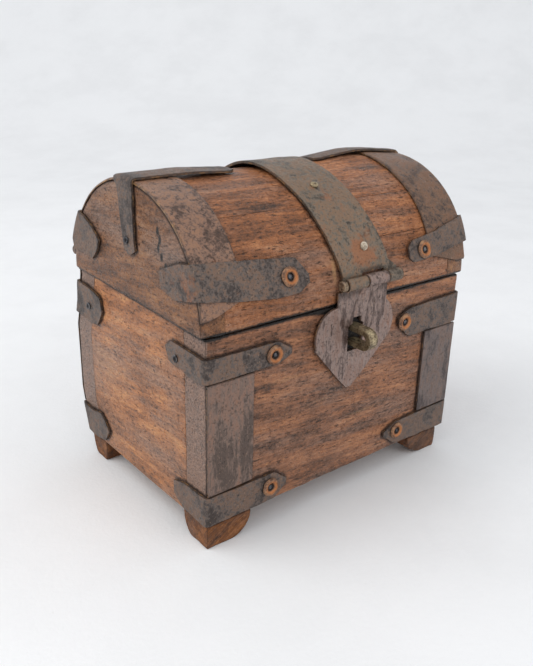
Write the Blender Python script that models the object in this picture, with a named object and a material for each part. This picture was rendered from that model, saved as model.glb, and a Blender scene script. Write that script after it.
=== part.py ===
"""Small domed-lid wooden money box: hardwood boards and staves, sheet-iron straps, strap hinges,
hasp and staple, four bracket feet. Metres, +Z up, +X right along the front, +Y to the back.

Geometry is written in box coordinates, whose Y is measured from the middle of the body's depth.
The empty "box_frame" moves that frame so that the whole object's footprint is centred on the origin.
"""
import math

import bpy
from mathutils import Vector

for stale in list(bpy.data.objects):
    bpy.data.objects.remove(stale, do_unlink=True)

MM = 0.001

# ---- driving dimensions -------------------------------------------------------------------------
GAP = 0.3 * MM                      # clearance between touching pieces
SHEET = 0.9 * MM                    # thickness of the iron straps
UNDER = GAP                         # a strap's inner face above bare wood
OVER = GAP + SHEET + GAP            # a strap's inner face where it crosses another strap

BODY_X = 66.3 * MM                  # half length of the wooden body
BODY_Y = 45.6 * MM                  # half depth of the wooden body
FOOT_Z = 10.0 * MM                  # underside of the body
RIM_FRONT_Z = 83.8 * MM             # top of the front panel; the rim rises towards the back
RIM_BACK_Z = 86.6 * MM
FRONT_BOARD = 13.0 * MM
BACK_BOARD = 12.0 * MM
END_BOARD = 10.0 * MM
FLOOR_BOARD = 7.0 * MM

LID_X = 68.4 * MM                   # half length of the wooden lid
ARCH_Y = 45.8 * MM                  # semi-axes and centre height of the dome's section
ARCH_Z = 45.1 * MM
ARCH_BASE_Z = 84.0 * MM
FRONT_FULLNESS = 2.1                # exponent of the section: 2 is an ellipse, more is fuller
BACK_FULLNESS = 2.0
STAVE = 13.0 * MM
LID_CLEARANCE = 0.6 * MM            # lid above the body's rim
SEAM_ANGLES = [28, 51, 105, 153]    # joints between the staves, degrees round the arch from the front

HINGE_Y = 48.2 * MM                 # lid hinge axis, box coordinates
HINGE_Z = 93.8 * MM
HINGE_PIN = 1.1 * MM
HASP_Y = -48.65 * MM                # hasp hinge axis, box coordinates
HASP_Z = 92.3 * MM
HASP_PIN = 1.2 * MM
HASP_SHEET = 1.0 * MM
LEG_Y = -0.9 * MM                   # middle of the ridge straps' end legs
STAPLE_BAR = 2.2 * MM
STAPLE_WIDTH = 4.6 * MM
STAPLE_EYE = 2.0 * MM               # radius of the padlock eye
STAPLE_X = 2.1 * MM
STAPLE_Z = 71.1 * MM
STAPLE_TIP_Y = -54.0 * MM           # centre of the eye's round end

FRONT_REACH = -STAPLE_TIP_Y + STAPLE_EYE + STAPLE_BAR
BACK_REACH = HINGE_Y + HINGE_PIN + GAP + SHEET
MID_Y = (FRONT_REACH - BACK_REACH) / 2

# ---- finishes: colour, roughness, metallic ------------------------------------------------------
WOOD_RED = ((0.19, 0.075, 0.035, 1), 0.62, 0.0)
WOOD_ORANGE = ((0.30, 0.13, 0.055, 1), 0.65, 0.0)
WOOD_RAW = ((0.36, 0.15, 0.05, 1), 0.75, 0.0)
IRON = ((0.13, 0.10, 0.085, 1), 0.55, 0.75)
HASP_IRON = ((0.17, 0.13, 0.125, 1), 0.42, 0.85)
COPPER = ((0.45, 0.19, 0.07, 1), 0.5, 0.8)
BRASSY = ((0.40, 0.29, 0.15, 1), 0.45, 0.85)

SMOOTH_LIMIT = math.radians(35)
cuts = {}                           # piece name -> list of closed cutter shapes (points, faces)
pieces = {}


# ---- frames and objects -------------------------------------------------------------------------
def empty(name, at, parent=None):
    """An empty at box coordinates `at`; children's meshes are stored relative to it."""
    frame = bpy.data.objects.new(name, None)
    frame.empty_display_size = 0.01
    bpy.context.scene.collection.objects.link(frame)
    frame["at"] = at
    if parent:
        frame.parent = parent
        frame.location = Vector(at) - Vector(parent["at"])
    return frame


def add(name, points, faces, finish, frame):
    """One closed solid in its own object, from box coordinates, with its own material."""
    origin = Vector(frame["at"])
    mesh = bpy.data.meshes.new(name)
    mesh.from_pydata([Vector(p) - origin for p in points], [], faces)
    face_outwards(mesh)
    mesh.shade_smooth()
    mesh.set_sharp_from_angle(angle=SMOOTH_LIMIT)
    piece = bpy.data.objects.new(name, mesh)
    bpy.context.scene.collection.objects.link(piece)
    piece.parent = frame
    colour, roughness, metallic = finish
    material = bpy.data.materials.new(name)
    material.use_nodes = True
    shader = material.node_tree.nodes["Principled BSDF"]
    shader.inputs["Base Color"].default_value = colour
    shader.inputs["Roughness"].default_value = roughness
    shader.inputs["Metallic"].default_value = metallic
    mesh.materials.append(material)
    pieces[name] = piece
    return piece


def face_outwards(mesh):
    """Flips a closed mesh whose faces are consistent but point inwards (negative volume)."""
    volume = 0.0
    for polygon in mesh.polygons:
        corners = [mesh.vertices[i].co for i in polygon.vertices]
        for second, third in zip(corners[1:-1], corners[2:]):
            volume += corners[0].dot(second.cross(third))
    if volume < 0:
        mesh.flip_normals()


# ---- shape makers -------------------------------------------------------------------------------
def prism(outline, start, end):
    """A (y, z) outline extruded along X from start to end."""
    count = len(outline)
    points = [(start, y, z) for y, z in outline] + [(end, y, z) for y, z in outline]
    faces = [tuple(range(count)), tuple(reversed(range(count, 2 * count)))]
    for i in range(count):
        j = (i + 1) % count
        faces.append((j, i, i + count, j + count))
    return points, faces


def sheet(grid, thickness, holes=()):
    """Bent sheet metal. grid[row][column] is (inner point, outward normal); holes are missing cells."""
    rows, columns = len(grid), len(grid[0])
    cells = {(i, j) for i in range(rows - 1) for j in range(columns - 1)} - set(holes)
    index, points = {}, []
    for i, j in sorted({(i + a, j + b) for i, j in cells for a in (0, 1) for b in (0, 1)}):
        inner, normal = Vector(grid[i][j][0]), Vector(grid[i][j][1])
        index[i, j] = len(points)
        points += [inner, inner + normal * thickness]
    faces = []
    for i, j in sorted(cells):
        ring = [index[i, j], index[i + 1, j], index[i + 1, j + 1], index[i, j + 1]]
        faces.append(tuple(ring))
        faces.append(tuple(k + 1 for k in reversed(ring)))
        neighbours = [(i, j - 1), (i + 1, j), (i, j + 1), (i - 1, j)]
        for side, neighbour in enumerate(neighbours):
            if neighbour not in cells:
                a, b = ring[side], ring[(side + 1) % 4]
                faces.append((b, a, a + 1, b + 1))
    return points, faces


def lathe(profile, base, axis, segments=14):
    """A closed (radius, height) profile turned about `axis` through `base`."""
    axis = Vector(axis).normalized()
    side = axis.orthogonal().normalized()
    other = axis.cross(side)
    points, rings, faces = [], [], []
    for radius, height in profile:
        centre = Vector(base) + axis * height
        if radius == 0:
            rings.append([len(points)] * segments)
            points.append(centre)
            continue
        rings.append(list(range(len(points), len(points) + segments)))
        for k in range(segments):
            turn = 2 * math.pi * k / segments
            points.append(centre + (side * math.cos(turn) + other * math.sin(turn)) * radius)
    for first, second in zip(rings, rings[1:] + rings[:1]):
        for k in range(segments):
            n = (k + 1) % segments
            corners = []
            for corner in (first[k], first[n], second[n], second[k]):
                if corner not in corners:
                    corners.append(corner)
            if len(corners) > 2:
                faces.append(tuple(corners))
    return points, faces


def rod(base, axis, radius, length, segments=10):
    """A plain round bar, used for pins and drill cutters."""
    return lathe([(0, 0), (radius, 0), (radius, length), (0, length)], base, axis, segments)


def block(low, high):
    """An upright box between two corners."""
    (x0, y0, z0), (x1, y1, z1) = low, high
    return prism([(y0, z0), (y1, z0), (y1, z1), (y0, z1)], x0, x1)


def cut_pieces():
    """Applies every drilled or sawn hole with one exact Boolean per piece."""
    for name, shapes in cuts.items():
        points, faces = [], []
        for shape_points, shape_faces in shapes:
            faces += [tuple(i + len(points) for i in face) for face in shape_faces]
            points += shape_points
        cutter = add(name + "_cutter", points, faces, IRON, pieces[name].parent)
        del pieces[name + "_cutter"]
        difference = pieces[name].modifiers.new("cut", "BOOLEAN")
        difference.object = cutter
        difference.solver = "EXACT"
        evaluated = pieces[name].evaluated_get(bpy.context.evaluated_depsgraph_get())
        finished = bpy.data.meshes.new_from_object(evaluated)
        pieces[name].modifiers.clear()
        finished.name = name
        pieces[name].data = finished
        bpy.data.objects.remove(cutter, do_unlink=True)


def drill(names, mouth, inward, radius, depth):
    """Registers one round hole through several pieces; the cutter starts just proud of the mouth."""
    inward = Vector(inward).normalized()
    start = Vector(mouth) - inward * (3 * MM)
    for name in names:
        points, faces = rod(start, inward, radius, depth + 3 * MM)
        cuts.setdefault(name, []).append((points, outward_faces(points, faces)))


def outward_faces(points, faces):
    """Cutter faces, turned so that the closed shape has a positive volume."""
    volume = 0.0
    for face in faces:
        first = Vector(points[face[0]])
        for second, third in zip(face[1:-1], face[2:]):
            volume += first.dot(Vector(points[second]).cross(Vector(points[third])))
    if volume < 0:
        return [tuple(reversed(face)) for face in faces]
    return faces


# ---- the arch and the rim -----------------------------------------------------------------------
def rim_z(y):
    """Height of the body's sloping rim at depth y."""
    return RIM_FRONT_Z + (RIM_BACK_Z - RIM_FRONT_Z) * (y + BODY_Y) / (2 * BODY_Y)


def fullness(angle):
    return FRONT_FULLNESS if angle < 90 else BACK_FULLNESS


def arch(angle, inset=0.0):
    """(y, z) on the dome, angle in degrees from the front; inset makes the inner arch."""
    turn = math.radians(angle)
    power = 2 / fullness(angle)
    y = math.copysign(abs(math.cos(turn)) ** power, -math.cos(turn))
    return (ARCH_Y - inset) * y, ARCH_BASE_Z + (ARCH_Z - inset) * abs(math.sin(turn)) ** power


def arch_normal(angle):
    turn = math.radians(angle)
    power = 2 - 2 / fullness(angle)
    y = math.copysign(abs(math.cos(turn)) ** power, -math.cos(turn))
    return Vector((0, y / ARCH_Y, abs(math.sin(turn)) ** power / ARCH_Z)).normalized()


def arch_angle(z, back=False):
    """Angle at which the outer arch is z high, on the front or the back."""
    power = fullness(180 if back else 0) / 2
    angle = math.degrees(math.asin(((z - ARCH_BASE_Z) / ARCH_Z) ** power))
    return 180 - angle if back else angle


def arch_angle_at(y):
    """Angle at which the outer arch is y deep."""
    power = fullness(180 if y > 0 else 0) / 2
    return math.degrees(math.acos(math.copysign((abs(y) / ARCH_Y) ** power, -y)))


def lid_edge_angle(inset, back):
    """Angle at which an arch meets the lid's lower edge, found by halving."""
    low, high = (120.0, 180.0) if back else (0.0, 60.0)
    for _ in range(40):
        middle = (low + high) / 2
        y, z = arch(middle, inset)
        above = z > rim_z(y) + LID_CLEARANCE
        if above == back:
            low = middle
        else:
            high = middle
    return low


def on_dome(x, angle, offset):
    """A point `offset` above the dome's wood, with its outward normal."""
    y, z = arch(angle)
    normal = arch_normal(angle)
    return Vector((x, y, z)) + normal * offset, normal


def steps(first, last, count):
    return [first + (last - first) * i / count for i in range(count + 1)]


# ---- wood ---------------------------------------------------------------------------------------
def make_body(frame):
    for name, y0, y1 in (("front_panel", -BODY_Y, FRONT_BOARD - BODY_Y),
                         ("back_panel", BODY_Y - BACK_BOARD, BODY_Y)):
        outline = [(y0, FOOT_Z), (y1, FOOT_Z), (y1, rim_z(y1)), (y0, rim_z(y0))]
        add(name, *prism(outline, -BODY_X, BODY_X), WOOD_RED, frame)
    y0 = FRONT_BOARD - BODY_Y + GAP
    y1 = BODY_Y - BACK_BOARD - GAP
    outline = [(y0, FOOT_Z), (y1, FOOT_Z), (y1, rim_z(y1)), (y0, rim_z(y0))]
    add("left_end_panel", *prism(outline, -BODY_X, END_BOARD - BODY_X), WOOD_ORANGE, frame)
    add("right_end_panel", *prism(outline, BODY_X - END_BOARD, BODY_X), WOOD_ORANGE, frame)
    inside = BODY_X - END_BOARD - GAP
    add("floor_board", *block((-inside, y0, FOOT_Z), (inside, y1, FOOT_Z + FLOOR_BOARD)), WOOD_RAW, frame)


def make_foot(name, corner, inward, top, tip, outer_inset, frame):
    """A bracket foot: full at the top, its inner sides rounding in to a smaller flat tip.

    corner is the foot's outer corner at the top, inward the signs of the two directions into the box,
    top and tip its widths along X and Y, outer_inset how far its outer sides curve in at the floor.
    """
    levels = [0.0, 0.1, 0.25, 0.5, 0.75, 1.0]
    height = FOOT_Z - GAP
    points, faces = [], []
    for level in levels:
        swell = math.sqrt(1 - (1 - level) ** 2)
        low = [corner[i] + inward[i] * outer_inset[i] * (1 - swell) for i in (0, 1)]
        high = [corner[i] + inward[i] * (tip[i] + outer_inset[i] + (top[i] - tip[i] - outer_inset[i]) * swell)
                for i in (0, 1)]
        z = height * level
        points += [(low[0], low[1], z), (high[0], low[1], z), (high[0], high[1], z), (low[0], high[1], z)]
    for i in range(len(levels) - 1):
        for k in range(4):
            a, b = 4 * i + k, 4 * i + (k + 1) % 4
            faces.append((a, b, b + 4, a + 4))
    last = 4 * (len(levels) - 1)
    faces += [(3, 2, 1, 0), (last, last + 1, last + 2, last + 3)]
    add(name, points, faces, WOOD_RAW, frame)


def make_feet(frame):
    edge_x, edge_y = BODY_X - 0.3 * MM, BODY_Y - 0.3 * MM
    feet = {"front_left_foot": ((-edge_x, -edge_y), (1, 1), (20.5, 16), (5, 7), (0, 0)),
            "front_right_foot": ((64.0 * MM, -edge_y), (-1, 1), (20, 13), (7, 5), (1.5, 0)),
            "back_left_foot": ((-edge_x, edge_y), (1, -1), (16, 13), (5, 7), (0, 4.5)),
            "back_right_foot": ((64.0 * MM, edge_y), (-1, -1), (17, 13), (6, 6), (1.5, 3))}
    for name, (corner, inward, *widths) in feet.items():
        make_foot(name, corner, inward, *mm_rows(widths), frame)


def make_staves(frame):
    edges = [None] + SEAM_ANGLES + [None]
    names = ["lid_front_rail", "lid_front_stave", "lid_top_stave", "lid_back_stave", "lid_back_rail"]
    half_gap = math.degrees(GAP / 2 / ARCH_Y)
    between = LID_X - END_BOARD - GAP
    for name, first, last in zip(names, edges, edges[1:]):
        sides = []
        for inset in (0.0, STAVE):
            start = lid_edge_angle(inset, False) if first is None else first + half_gap
            end = lid_edge_angle(inset, True) if last is None else last - half_gap
            count = max(3, round((end - start) / 7))
            sides.append([arch(angle, inset) for angle in steps(start, end, count)])
        outline = sides[0] + sides[1][::-1]
        add(name, *prism(outline, -between, between), WOOD_RED, frame)
    ends = lid_edge_angle(0.0, False), lid_edge_angle(0.0, True)
    outline = [arch(angle) for angle in steps(*ends, 26)]
    add("lid_left_end", *prism(outline, -LID_X, END_BOARD - LID_X), WOOD_ORANGE, frame)
    add("lid_right_end", *prism(outline, LID_X - END_BOARD, LID_X), WOOD_ORANGE, frame)


# ---- straps on the body -------------------------------------------------------------------------
def flat_strip(x0, x1, z0, z1):
    """A plain vertical strip on the front panel."""
    inner = -BODY_Y - UNDER
    normal = (0, -1, 0)
    grid = [[((x, inner, z), normal) for x in (x0, x1)] for z in (z0, z1)]
    return sheet(grid, SHEET)


def corner_strap(side, face, long_leg, corner, short_leg, offset):
    """An L-shaped strap round an upright corner of the body.

    side is -1 for the left end and 1 for the right; face is -1 for the front and 1 for the back.
    long_leg lists (distance from the corner along X, bottom z, top z) from the tip inwards, corner is
    (bottom z, top z), and short_leg lists (distance from the corner along Y, bottom z, top z).
    """
    edge_x = side * (BODY_X + UNDER)
    edge_y = face * (BODY_Y + offset)
    columns = []
    for distance, low, high in long_leg:
        columns.append(((edge_x - side * distance, edge_y), (0, face, 0), low, high))
    columns.append(((edge_x, edge_y), (side, face, 0), *corner))
    for distance, low, high in short_leg:
        columns.append(((edge_x, edge_y - face * distance), (side, 0, 0), low, high))
    grid = [[((x, y, z), normal) for z in (low, high)] for (x, y), normal, low, high in columns]
    return sheet(grid, SHEET)


def mm_rows(rows):
    return [tuple(value * MM for value in row) for row in rows]


def make_body_straps(frame):
    bottom, top = 10.9, 23.2
    bottom_corner = (bottom * MM, top * MM)
    bottom_long = {-1: [(37, 16.2, 18.2), (31, 11.4, 22.8)], 1: [(41, 17.2, 19.6), (33, 11.6, 22.8)]}
    bottom_short = [(14, 11.4, 22.9), (20.5, 15.2, 20.6)]
    front_top = {-1: ([(37.5, 70.8, 72.6), (31, 67.8, 76.8)], (67.8, 77.0),
                      [(11, 67.9, 77.4), (20.6, 68.7, 77.2), (24.6, 72.0, 75.2)]),
                 1: ([(37.8, 69.6, 71.6), (33, 63.6, 74.2), (30, 62.2, 74.8)], (62.4, 75.8),
                     [(12, 63.2, 76.0), (22, 67.2, 74.2)])}
    for side, side_name in ((-1, "left"), (1, "right")):
        long_leg, corner, short_leg = front_top[side]
        shape = corner_strap(side, -1, mm_rows(long_leg), mm_rows([corner])[0], mm_rows(short_leg), UNDER)
        add("front_" + side_name + "_top_strap", *shape, IRON, frame)
        shape = corner_strap(side, 1, mm_rows([(36, 71, 73), (30, 67, 79)]), (66.4 * MM, 81.0 * MM),
                             mm_rows([(13.4, 65.6, 79.6), (18.6, 68.0, 77.8), (20.4, 71.6, 74.4)]), OVER)
        add("back_" + side_name + "_top_strap", *shape, IRON, frame)
        for face, face_name in ((-1, "front"), (1, "back")):
            shape = corner_strap(side, face, mm_rows(bottom_long[side]), bottom_corner,
                                 mm_rows(bottom_short), UNDER)
            add(face_name + "_" + side_name + "_bottom_strap", *shape, IRON, frame)
    strip_foot = (top + 0.4) * MM
    add("front_left_strip", *flat_strip(-BODY_X, -46.4 * MM, strip_foot, 67.4 * MM), IRON, frame)
    add("front_right_strip", *flat_strip(46.4 * MM, BODY_X, strip_foot, 61.8 * MM), IRON, frame)


# ---- knuckles and hinges ------------------------------------------------------------------------
def roll(x_values, y, z, face, radius, start, turn, count=9):
    """Rows of a knuckle rolled round the axis (y, z). face is 1 at the back and -1 at the front.

    Angles are degrees from the outward direction; at 180 the sheet lies on the wood side.
    """
    rows = []
    for angle in steps(start, start + turn, count):
        outward, up = math.cos(math.radians(angle)), math.sin(math.radians(angle))
        place = (y + face * outward * radius, z + up * radius)
        rows.append([((x, *place), (0, -face * outward, -up)) for x in x_values])
    return rows


def knuckle_edges(side):
    """X of the lid hinge's knuckle joints on one side, from the outer end inwards."""
    outer, first, second, inner = BODY_X, 61.05 * MM, 55.65 * MM, 50.4 * MM
    return [side * value for value in (outer, first, second, inner)]


def make_hinge_strip(side, name, frame):
    """A back strip on the body whose top is rolled into the two outer knuckles."""
    outer, first, second, inner = knuckle_edges(side)
    cut = side * GAP / 2
    x_values = [outer, first + cut, second - cut, inner, side * 46.3 * MM]
    inner_y = BODY_Y + UNDER
    out = (0, 1, 0)
    radius = HINGE_PIN + GAP + SHEET
    heights = [23.6 * MM, 60 * MM, HINGE_Z - radius - 0.5 * MM, HINGE_Z - 0.6 * MM]
    grid = [[((x, inner_y, z), out) for x in x_values] for z in heights]
    grid += roll(x_values, HINGE_Y, HINGE_Z, 1, radius, 180, -270)
    rolled = range(2, len(grid) - 1)
    holes = [(row, column) for row in rolled for column in (1, 3)]
    add(name, *sheet(grid, SHEET, holes), IRON, frame)


def make_end_band(side, name, inner_x, frame):
    """A band over the dome at one end; behind, it ends in the hinge's middle knuckle."""
    outer, first, second, inner = knuckle_edges(side)
    cut = side * GAP / 2
    x_values = [side * LID_X, first - cut, second + cut, inner_x]
    front_start = arch_angle(90.4 * MM)
    back_end = arch_angle(101.5 * MM, back=True)
    angles = [front_start, arch_angle(95.0 * MM)] + steps(arch_angle(100.0 * MM), back_end, 20)
    grid = [[on_dome(x, angle, UNDER) for x in x_values] for angle in angles]
    grid[0][1:] = [on_dome(side * (LID_X - inset * MM), front_start, UNDER) for inset in (2, 3, 4)]
    radius = HINGE_PIN + GAP + SHEET
    joggle = HINGE_Y - radius
    for y, z in ((44.4 * MM, 97.2 * MM), (joggle, HINGE_Z + 1.2 * MM)):
        grid.append([((x, y, z), Vector((0, 1, 0.25)).normalized()) for x in x_values])
    last_full = len(grid) - 2
    grid += roll(x_values, HINGE_Y, HINGE_Z, 1, radius, 180, 270)
    holes = [(row, column) for row in range(last_full, len(grid) - 1) for column in (0, 2)]
    add(name, *sheet(grid, SHEET, holes), IRON, frame)


def make_hinge_pin(side, name, frame):
    """A pin with a peened head at its outer end."""
    head, shank = HINGE_PIN + 0.7 * MM, HINGE_PIN
    start = BODY_X + 1.3 * MM
    length = start - 49.6 * MM
    profile = [(0, 0), (head * 0.7, 0), (head, 0.4 * MM), (head, 0.9 * MM), (shank, 1.0 * MM),
               (shank, length), (0, length)]
    add(name, *lathe(profile, (side * start, HINGE_Y, HINGE_Z), (-side, 0, 0), 12), IRON, frame)


# ---- straps on the lid --------------------------------------------------------------------------
def lid_corner_strap(side, back, long_leg, corner, short_leg):
    """A corner strap on the lid: its long leg follows the dome over the end band, its short leg lies
    on the end. Columns are (distance, bottom z, top z) as on the body; the height is split in three so
    that the long leg bends with the dome."""
    grid = []
    edge = side * (LID_X + UNDER)
    for distance, low, high in long_leg:
        grid.append([on_dome(edge - side * distance, arch_angle(z, back), OVER) for z in steps(low, high, 3)])
    low, high = corner
    column = []
    for z in steps(low, high, 3):
        point, normal = on_dome(edge, arch_angle(z, back), OVER)
        column.append((point, normal + Vector((side, 0, 0))))
    grid.append(column)
    face = 1 if back else -1
    for distance, low, high in short_leg:
        column = []
        for z in steps(low, high, 3):
            y = arch(arch_angle(z, back))[0] + face * (OVER - distance)
            column.append(((edge, y, z), (side, 0, 0)))
        grid.append(column)
    return sheet(grid, SHEET)


def make_lid_straps(frame):
    front = {-1: ([(46.9, 96.0, 98.4), (42, 93.2, 104.4), (32.5, 92.7, 105.5), (16, 94.4, 107.0)],
                  (97.0, 108.3), [(6, 95.8, 107.4), (14, 94.4, 104.8), (22, 96.4, 102.0)]),
             1: ([(36.7, 95.8, 99.6), (34, 93.9, 102.0), (20, 94.8, 103.8)], (98.0, 107.6),
                 [(8, 96.2, 106.4), (18, 96.6, 102.2)])}
    back = ([(36, 103.0, 105.0), (30, 100.0, 109.6)], (100.0, 111.0),
            [(3, 95.6, 110.6), (12.4, 95.4, 107.8), (19.6, 95.4, 103.8), (21.8, 98.0, 100.2)])
    for side, side_name in ((-1, "left"), (1, "right")):
        for is_back, face_name, legs in ((False, "front", front[side]), (True, "back", back)):
            long_leg, corner, short_leg = legs
            shape = lid_corner_strap(side, is_back, mm_rows(long_leg), mm_rows([corner])[0], mm_rows(short_leg))
            add("lid_" + face_name + "_" + side_name + "_strap", *shape, IRON, frame)


def make_ridge_strap(side, name, inner_x, y_low, y_high, arching, frame):
    """A strap along the ridge that folds down over the lid's end to a pointed leg. Between its end nails
    it arches up off the lid by `arching`."""
    edge = side * (LID_X + UNDER)
    middle = (y_low + y_high) / 2
    y_values = steps(y_low, y_high, 3)
    grid = []
    for x, narrow, rise in ((inner_x, 0.75, 0.0), (inner_x + side * 3 * MM, 1.0, 0.0),
                            (side * 34 * MM, 1.0, 0.6), (side * 46 * MM, 1.0, 1.0),
                            (side * 57 * MM, 1.0, 0.6), (edge, 1.0, 0.0)):
        row = []
        for y in y_values:
            place = middle + (y - middle) * narrow
            point, normal = on_dome(x, arch_angle_at(place), OVER + arching * rise)
            if x == edge:
                normal = normal + Vector((side, 0, 0))
            row.append((point, normal))
        grid.append(row)
    leg_y = LEG_Y
    for z, half in ((122.0, 5.2), (106.0, 4.6), (103.6, 1.6)):
        row = [((edge, y, z * MM), (side, 0, 0)) for y in steps(leg_y - half * MM, leg_y + half * MM, 3)]
        grid.append(row)
    add(name, *sheet(grid, SHEET), IRON, frame)


def centre_strap_path(angle):
    """Sideways drift and height above the wood of the centre strap at one place round the dome."""
    fall = max(0.0, (90 - angle) / 78)
    over_ridge = math.exp(-((angle - 92) / 20) ** 2)
    return 7.8 * MM * fall ** 2.4, UNDER + 1.1 * MM * fall ** 3 + 1.5 * MM * over_ridge


def make_centre_strap(frame):
    """The wide strap over the dome. It drifts to the right as it comes down the front, stands a little
    off the wood there, and its lower end is rolled into the hasp hinge's two outer knuckles."""
    radius = HASP_PIN + GAP + HASP_SHEET
    joint_left, joint_right = 4.9 * MM, 16.3 * MM
    low_angle = arch_angle(97.6 * MM)
    knuckle_x = [-5.6 * MM, joint_left - GAP / 2, joint_right + GAP / 2, 23.6 * MM]
    grid = roll(knuckle_x, HASP_Y, HASP_Z, -1, radius, 450, -270)
    inner_y = HASP_Y + radius
    tangent = Vector((0, -1, 0))
    grid.append([((x, inner_y, HASP_Z + radius + 0.4 * MM), tangent) for x in knuckle_x])
    rolled = len(grid) - 1
    for angle in steps(low_angle, 168, 24):
        drift, lift = centre_strap_path(angle)
        half = 12.9 * MM
        left, right = drift - half, drift + half
        cut_left = left + (right - left) * 0.36
        cut_right = left + (right - left) * 0.76
        grid.append([on_dome(x, angle, lift) for x in (left, cut_left, cut_right, right)])
    holes = [(row, 1) for row in range(rolled)]
    add("centre_strap", *sheet(grid, HASP_SHEET, holes), IRON, frame)


# ---- hasp and staple ----------------------------------------------------------------------------
def shield_edges(z):
    """Left and right edge of the hasp plate at height z: a neck, round shoulders and a pointed tip."""
    shoulder, tip_z, tip_x = 11.2 * MM, 48.7 * MM, 0.5 * MM
    left_centre, right_centre = (-7.3 * MM, 72.7 * MM), (12.6 * MM, 73.0 * MM)
    neck_left, neck_right = -7.7 * MM, 18.8 * MM
    join_z = 68.7 * MM
    if z >= 83.7 * MM:
        return neck_left, neck_right
    if z >= join_z:
        left = left_centre[0] - math.sqrt(max(0.0, shoulder ** 2 - (z - left_centre[1]) ** 2))
        right = right_centre[0] + math.sqrt(max(0.0, shoulder ** 2 - (z - right_centre[1]) ** 2))
        return min(left, neck_left - 0.8 * MM), max(right, neck_right)
    left_join, right_join = shield_edges(join_z)
    part = (z - tip_z) / (join_z - tip_z)
    left = tip_x - 0.8 * MM + (left_join - tip_x) * part ** 0.93
    right = tip_x + 0.8 * MM + (right_join - tip_x) * part ** 0.93
    return left, right


def make_hasp(frame):
    """The hasp plate: a shield with a padlock slot, rolled into the hinge's middle knuckle."""
    radius = HASP_PIN + GAP + HASP_SHEET
    joint_left, joint_right = 4.9 * MM, 16.3 * MM
    slot = (-1.3 * MM, 6.4 * MM)
    tip_z = 48.9 * MM
    inner_top, inner_tip = HASP_Y + radius, -BODY_Y - 0.8 * MM
    top_z = HASP_Z - radius
    below_slot, beside_slot, above_slot = [48.9, 52, 57, 61], [64.7, 68.7, 71, 73.5, 76], [78.1, 80, 82, 83.6, 83.8]
    heights = [height * MM for height in below_slot + beside_slot + above_slot]
    slot_rows = range(len(below_slot), len(below_slot + beside_slot))
    grid = []
    for z in heights:
        lean = (z - tip_z) / (top_z - tip_z)
        y = inner_tip + (inner_top - 0.6 * MM - inner_tip) * lean
        left, right = shield_edges(z)
        span = right - left
        x_values = (left, max(slot[0], left + 0.2 * span), min(slot[1], right - 0.2 * span), right)
        grid.append([((x, y, z), (0, -1, 0)) for x in x_values])
    neck = shield_edges(top_z)
    joint = [neck[0], joint_left + GAP / 2, joint_right - GAP / 2, neck[1]]
    neck_y = inner_top - 0.6 * MM
    grid.append([((x, neck_y, top_z - 0.5 * MM), (0, -1, 0)) for x in joint])
    neck_row = len(grid) - 1
    grid.append([((x, inner_top - 0.1 * MM, HASP_Z - 0.9 * MM), (0, -1, 0)) for x in joint])
    grid += roll(joint, HASP_Y, HASP_Z, -1, radius, 180, -270)
    holes = [(row, column) for row in range(neck_row, len(grid) - 1) for column in (0, 2)]
    holes += [(row, 1) for row in slot_rows]
    add("hasp_plate", *sheet(grid, HASP_SHEET, holes), HASP_IRON, frame)


def make_hasp_pin(frame):
    start, end = -7.7 * MM, 24.2 * MM
    head = HASP_PIN + 0.9 * MM
    profile = [(0, 0), (head * 0.75, 0), (head, 0.5 * MM), (head, 1.6 * MM), (HASP_PIN, 1.8 * MM),
               (HASP_PIN, end - start), (0, end - start)]
    add("hasp_hinge_pin", *lathe(profile, (start, HASP_Y, HASP_Z), (1, 0, 0), 12), BRASSY, frame)


def make_staple(frame):
    """A flat bar bent to a round eye; its two legs pass through the front panel and are clinched."""
    x_values = (STAPLE_X - STAPLE_WIDTH / 2, STAPLE_X + STAPLE_WIDTH / 2)
    inside = FRONT_BOARD - BODY_Y + GAP
    bend = 0.3 * MM
    swing = bend + STAPLE_BAR
    rows = []
    for sign in (1, -1):
        side_rows = []
        leg_z = STAPLE_Z + sign * STAPLE_EYE
        side_rows.append((STAPLE_TIP_Y, leg_z, 0, sign))
        for angle in steps(0, 90, 4):
            turn = math.radians(angle)
            y = inside + bend + swing * math.sin(turn)
            z = leg_z + sign * swing * (1 - math.cos(turn))
            side_rows.append((y, z, -math.sin(turn), sign * math.cos(turn)))
        side_rows.append((inside + bend + swing, leg_z + sign * (swing + 5 * MM), -1, 0))
        rows.append(side_rows)
    eye = []
    for angle in steps(90, 270, 10)[1:-1]:
        turn = math.radians(angle)
        eye.append((STAPLE_TIP_Y + STAPLE_EYE * math.cos(turn), STAPLE_Z + STAPLE_EYE * math.sin(turn),
                    math.cos(turn), math.sin(turn)))
    path = rows[0][::-1] + eye + rows[1]
    grid = [[((x, y, z), (0, ny, nz)) for x in x_values] for y, z, ny, nz in path]
    add("staple", *sheet(grid, STAPLE_BAR), BRASSY, frame)
    for sign in (1, -1):
        low = STAPLE_Z + sign * STAPLE_EYE - (GAP if sign > 0 else STAPLE_BAR + GAP)
        high = low + STAPLE_BAR + 2 * GAP
        points, faces = block((x_values[0] - GAP, -BODY_Y - MM, low), (x_values[1] + GAP, inside + MM, high))
        cuts.setdefault("front_panel", []).append((points, outward_faces(points, faces)))


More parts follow.
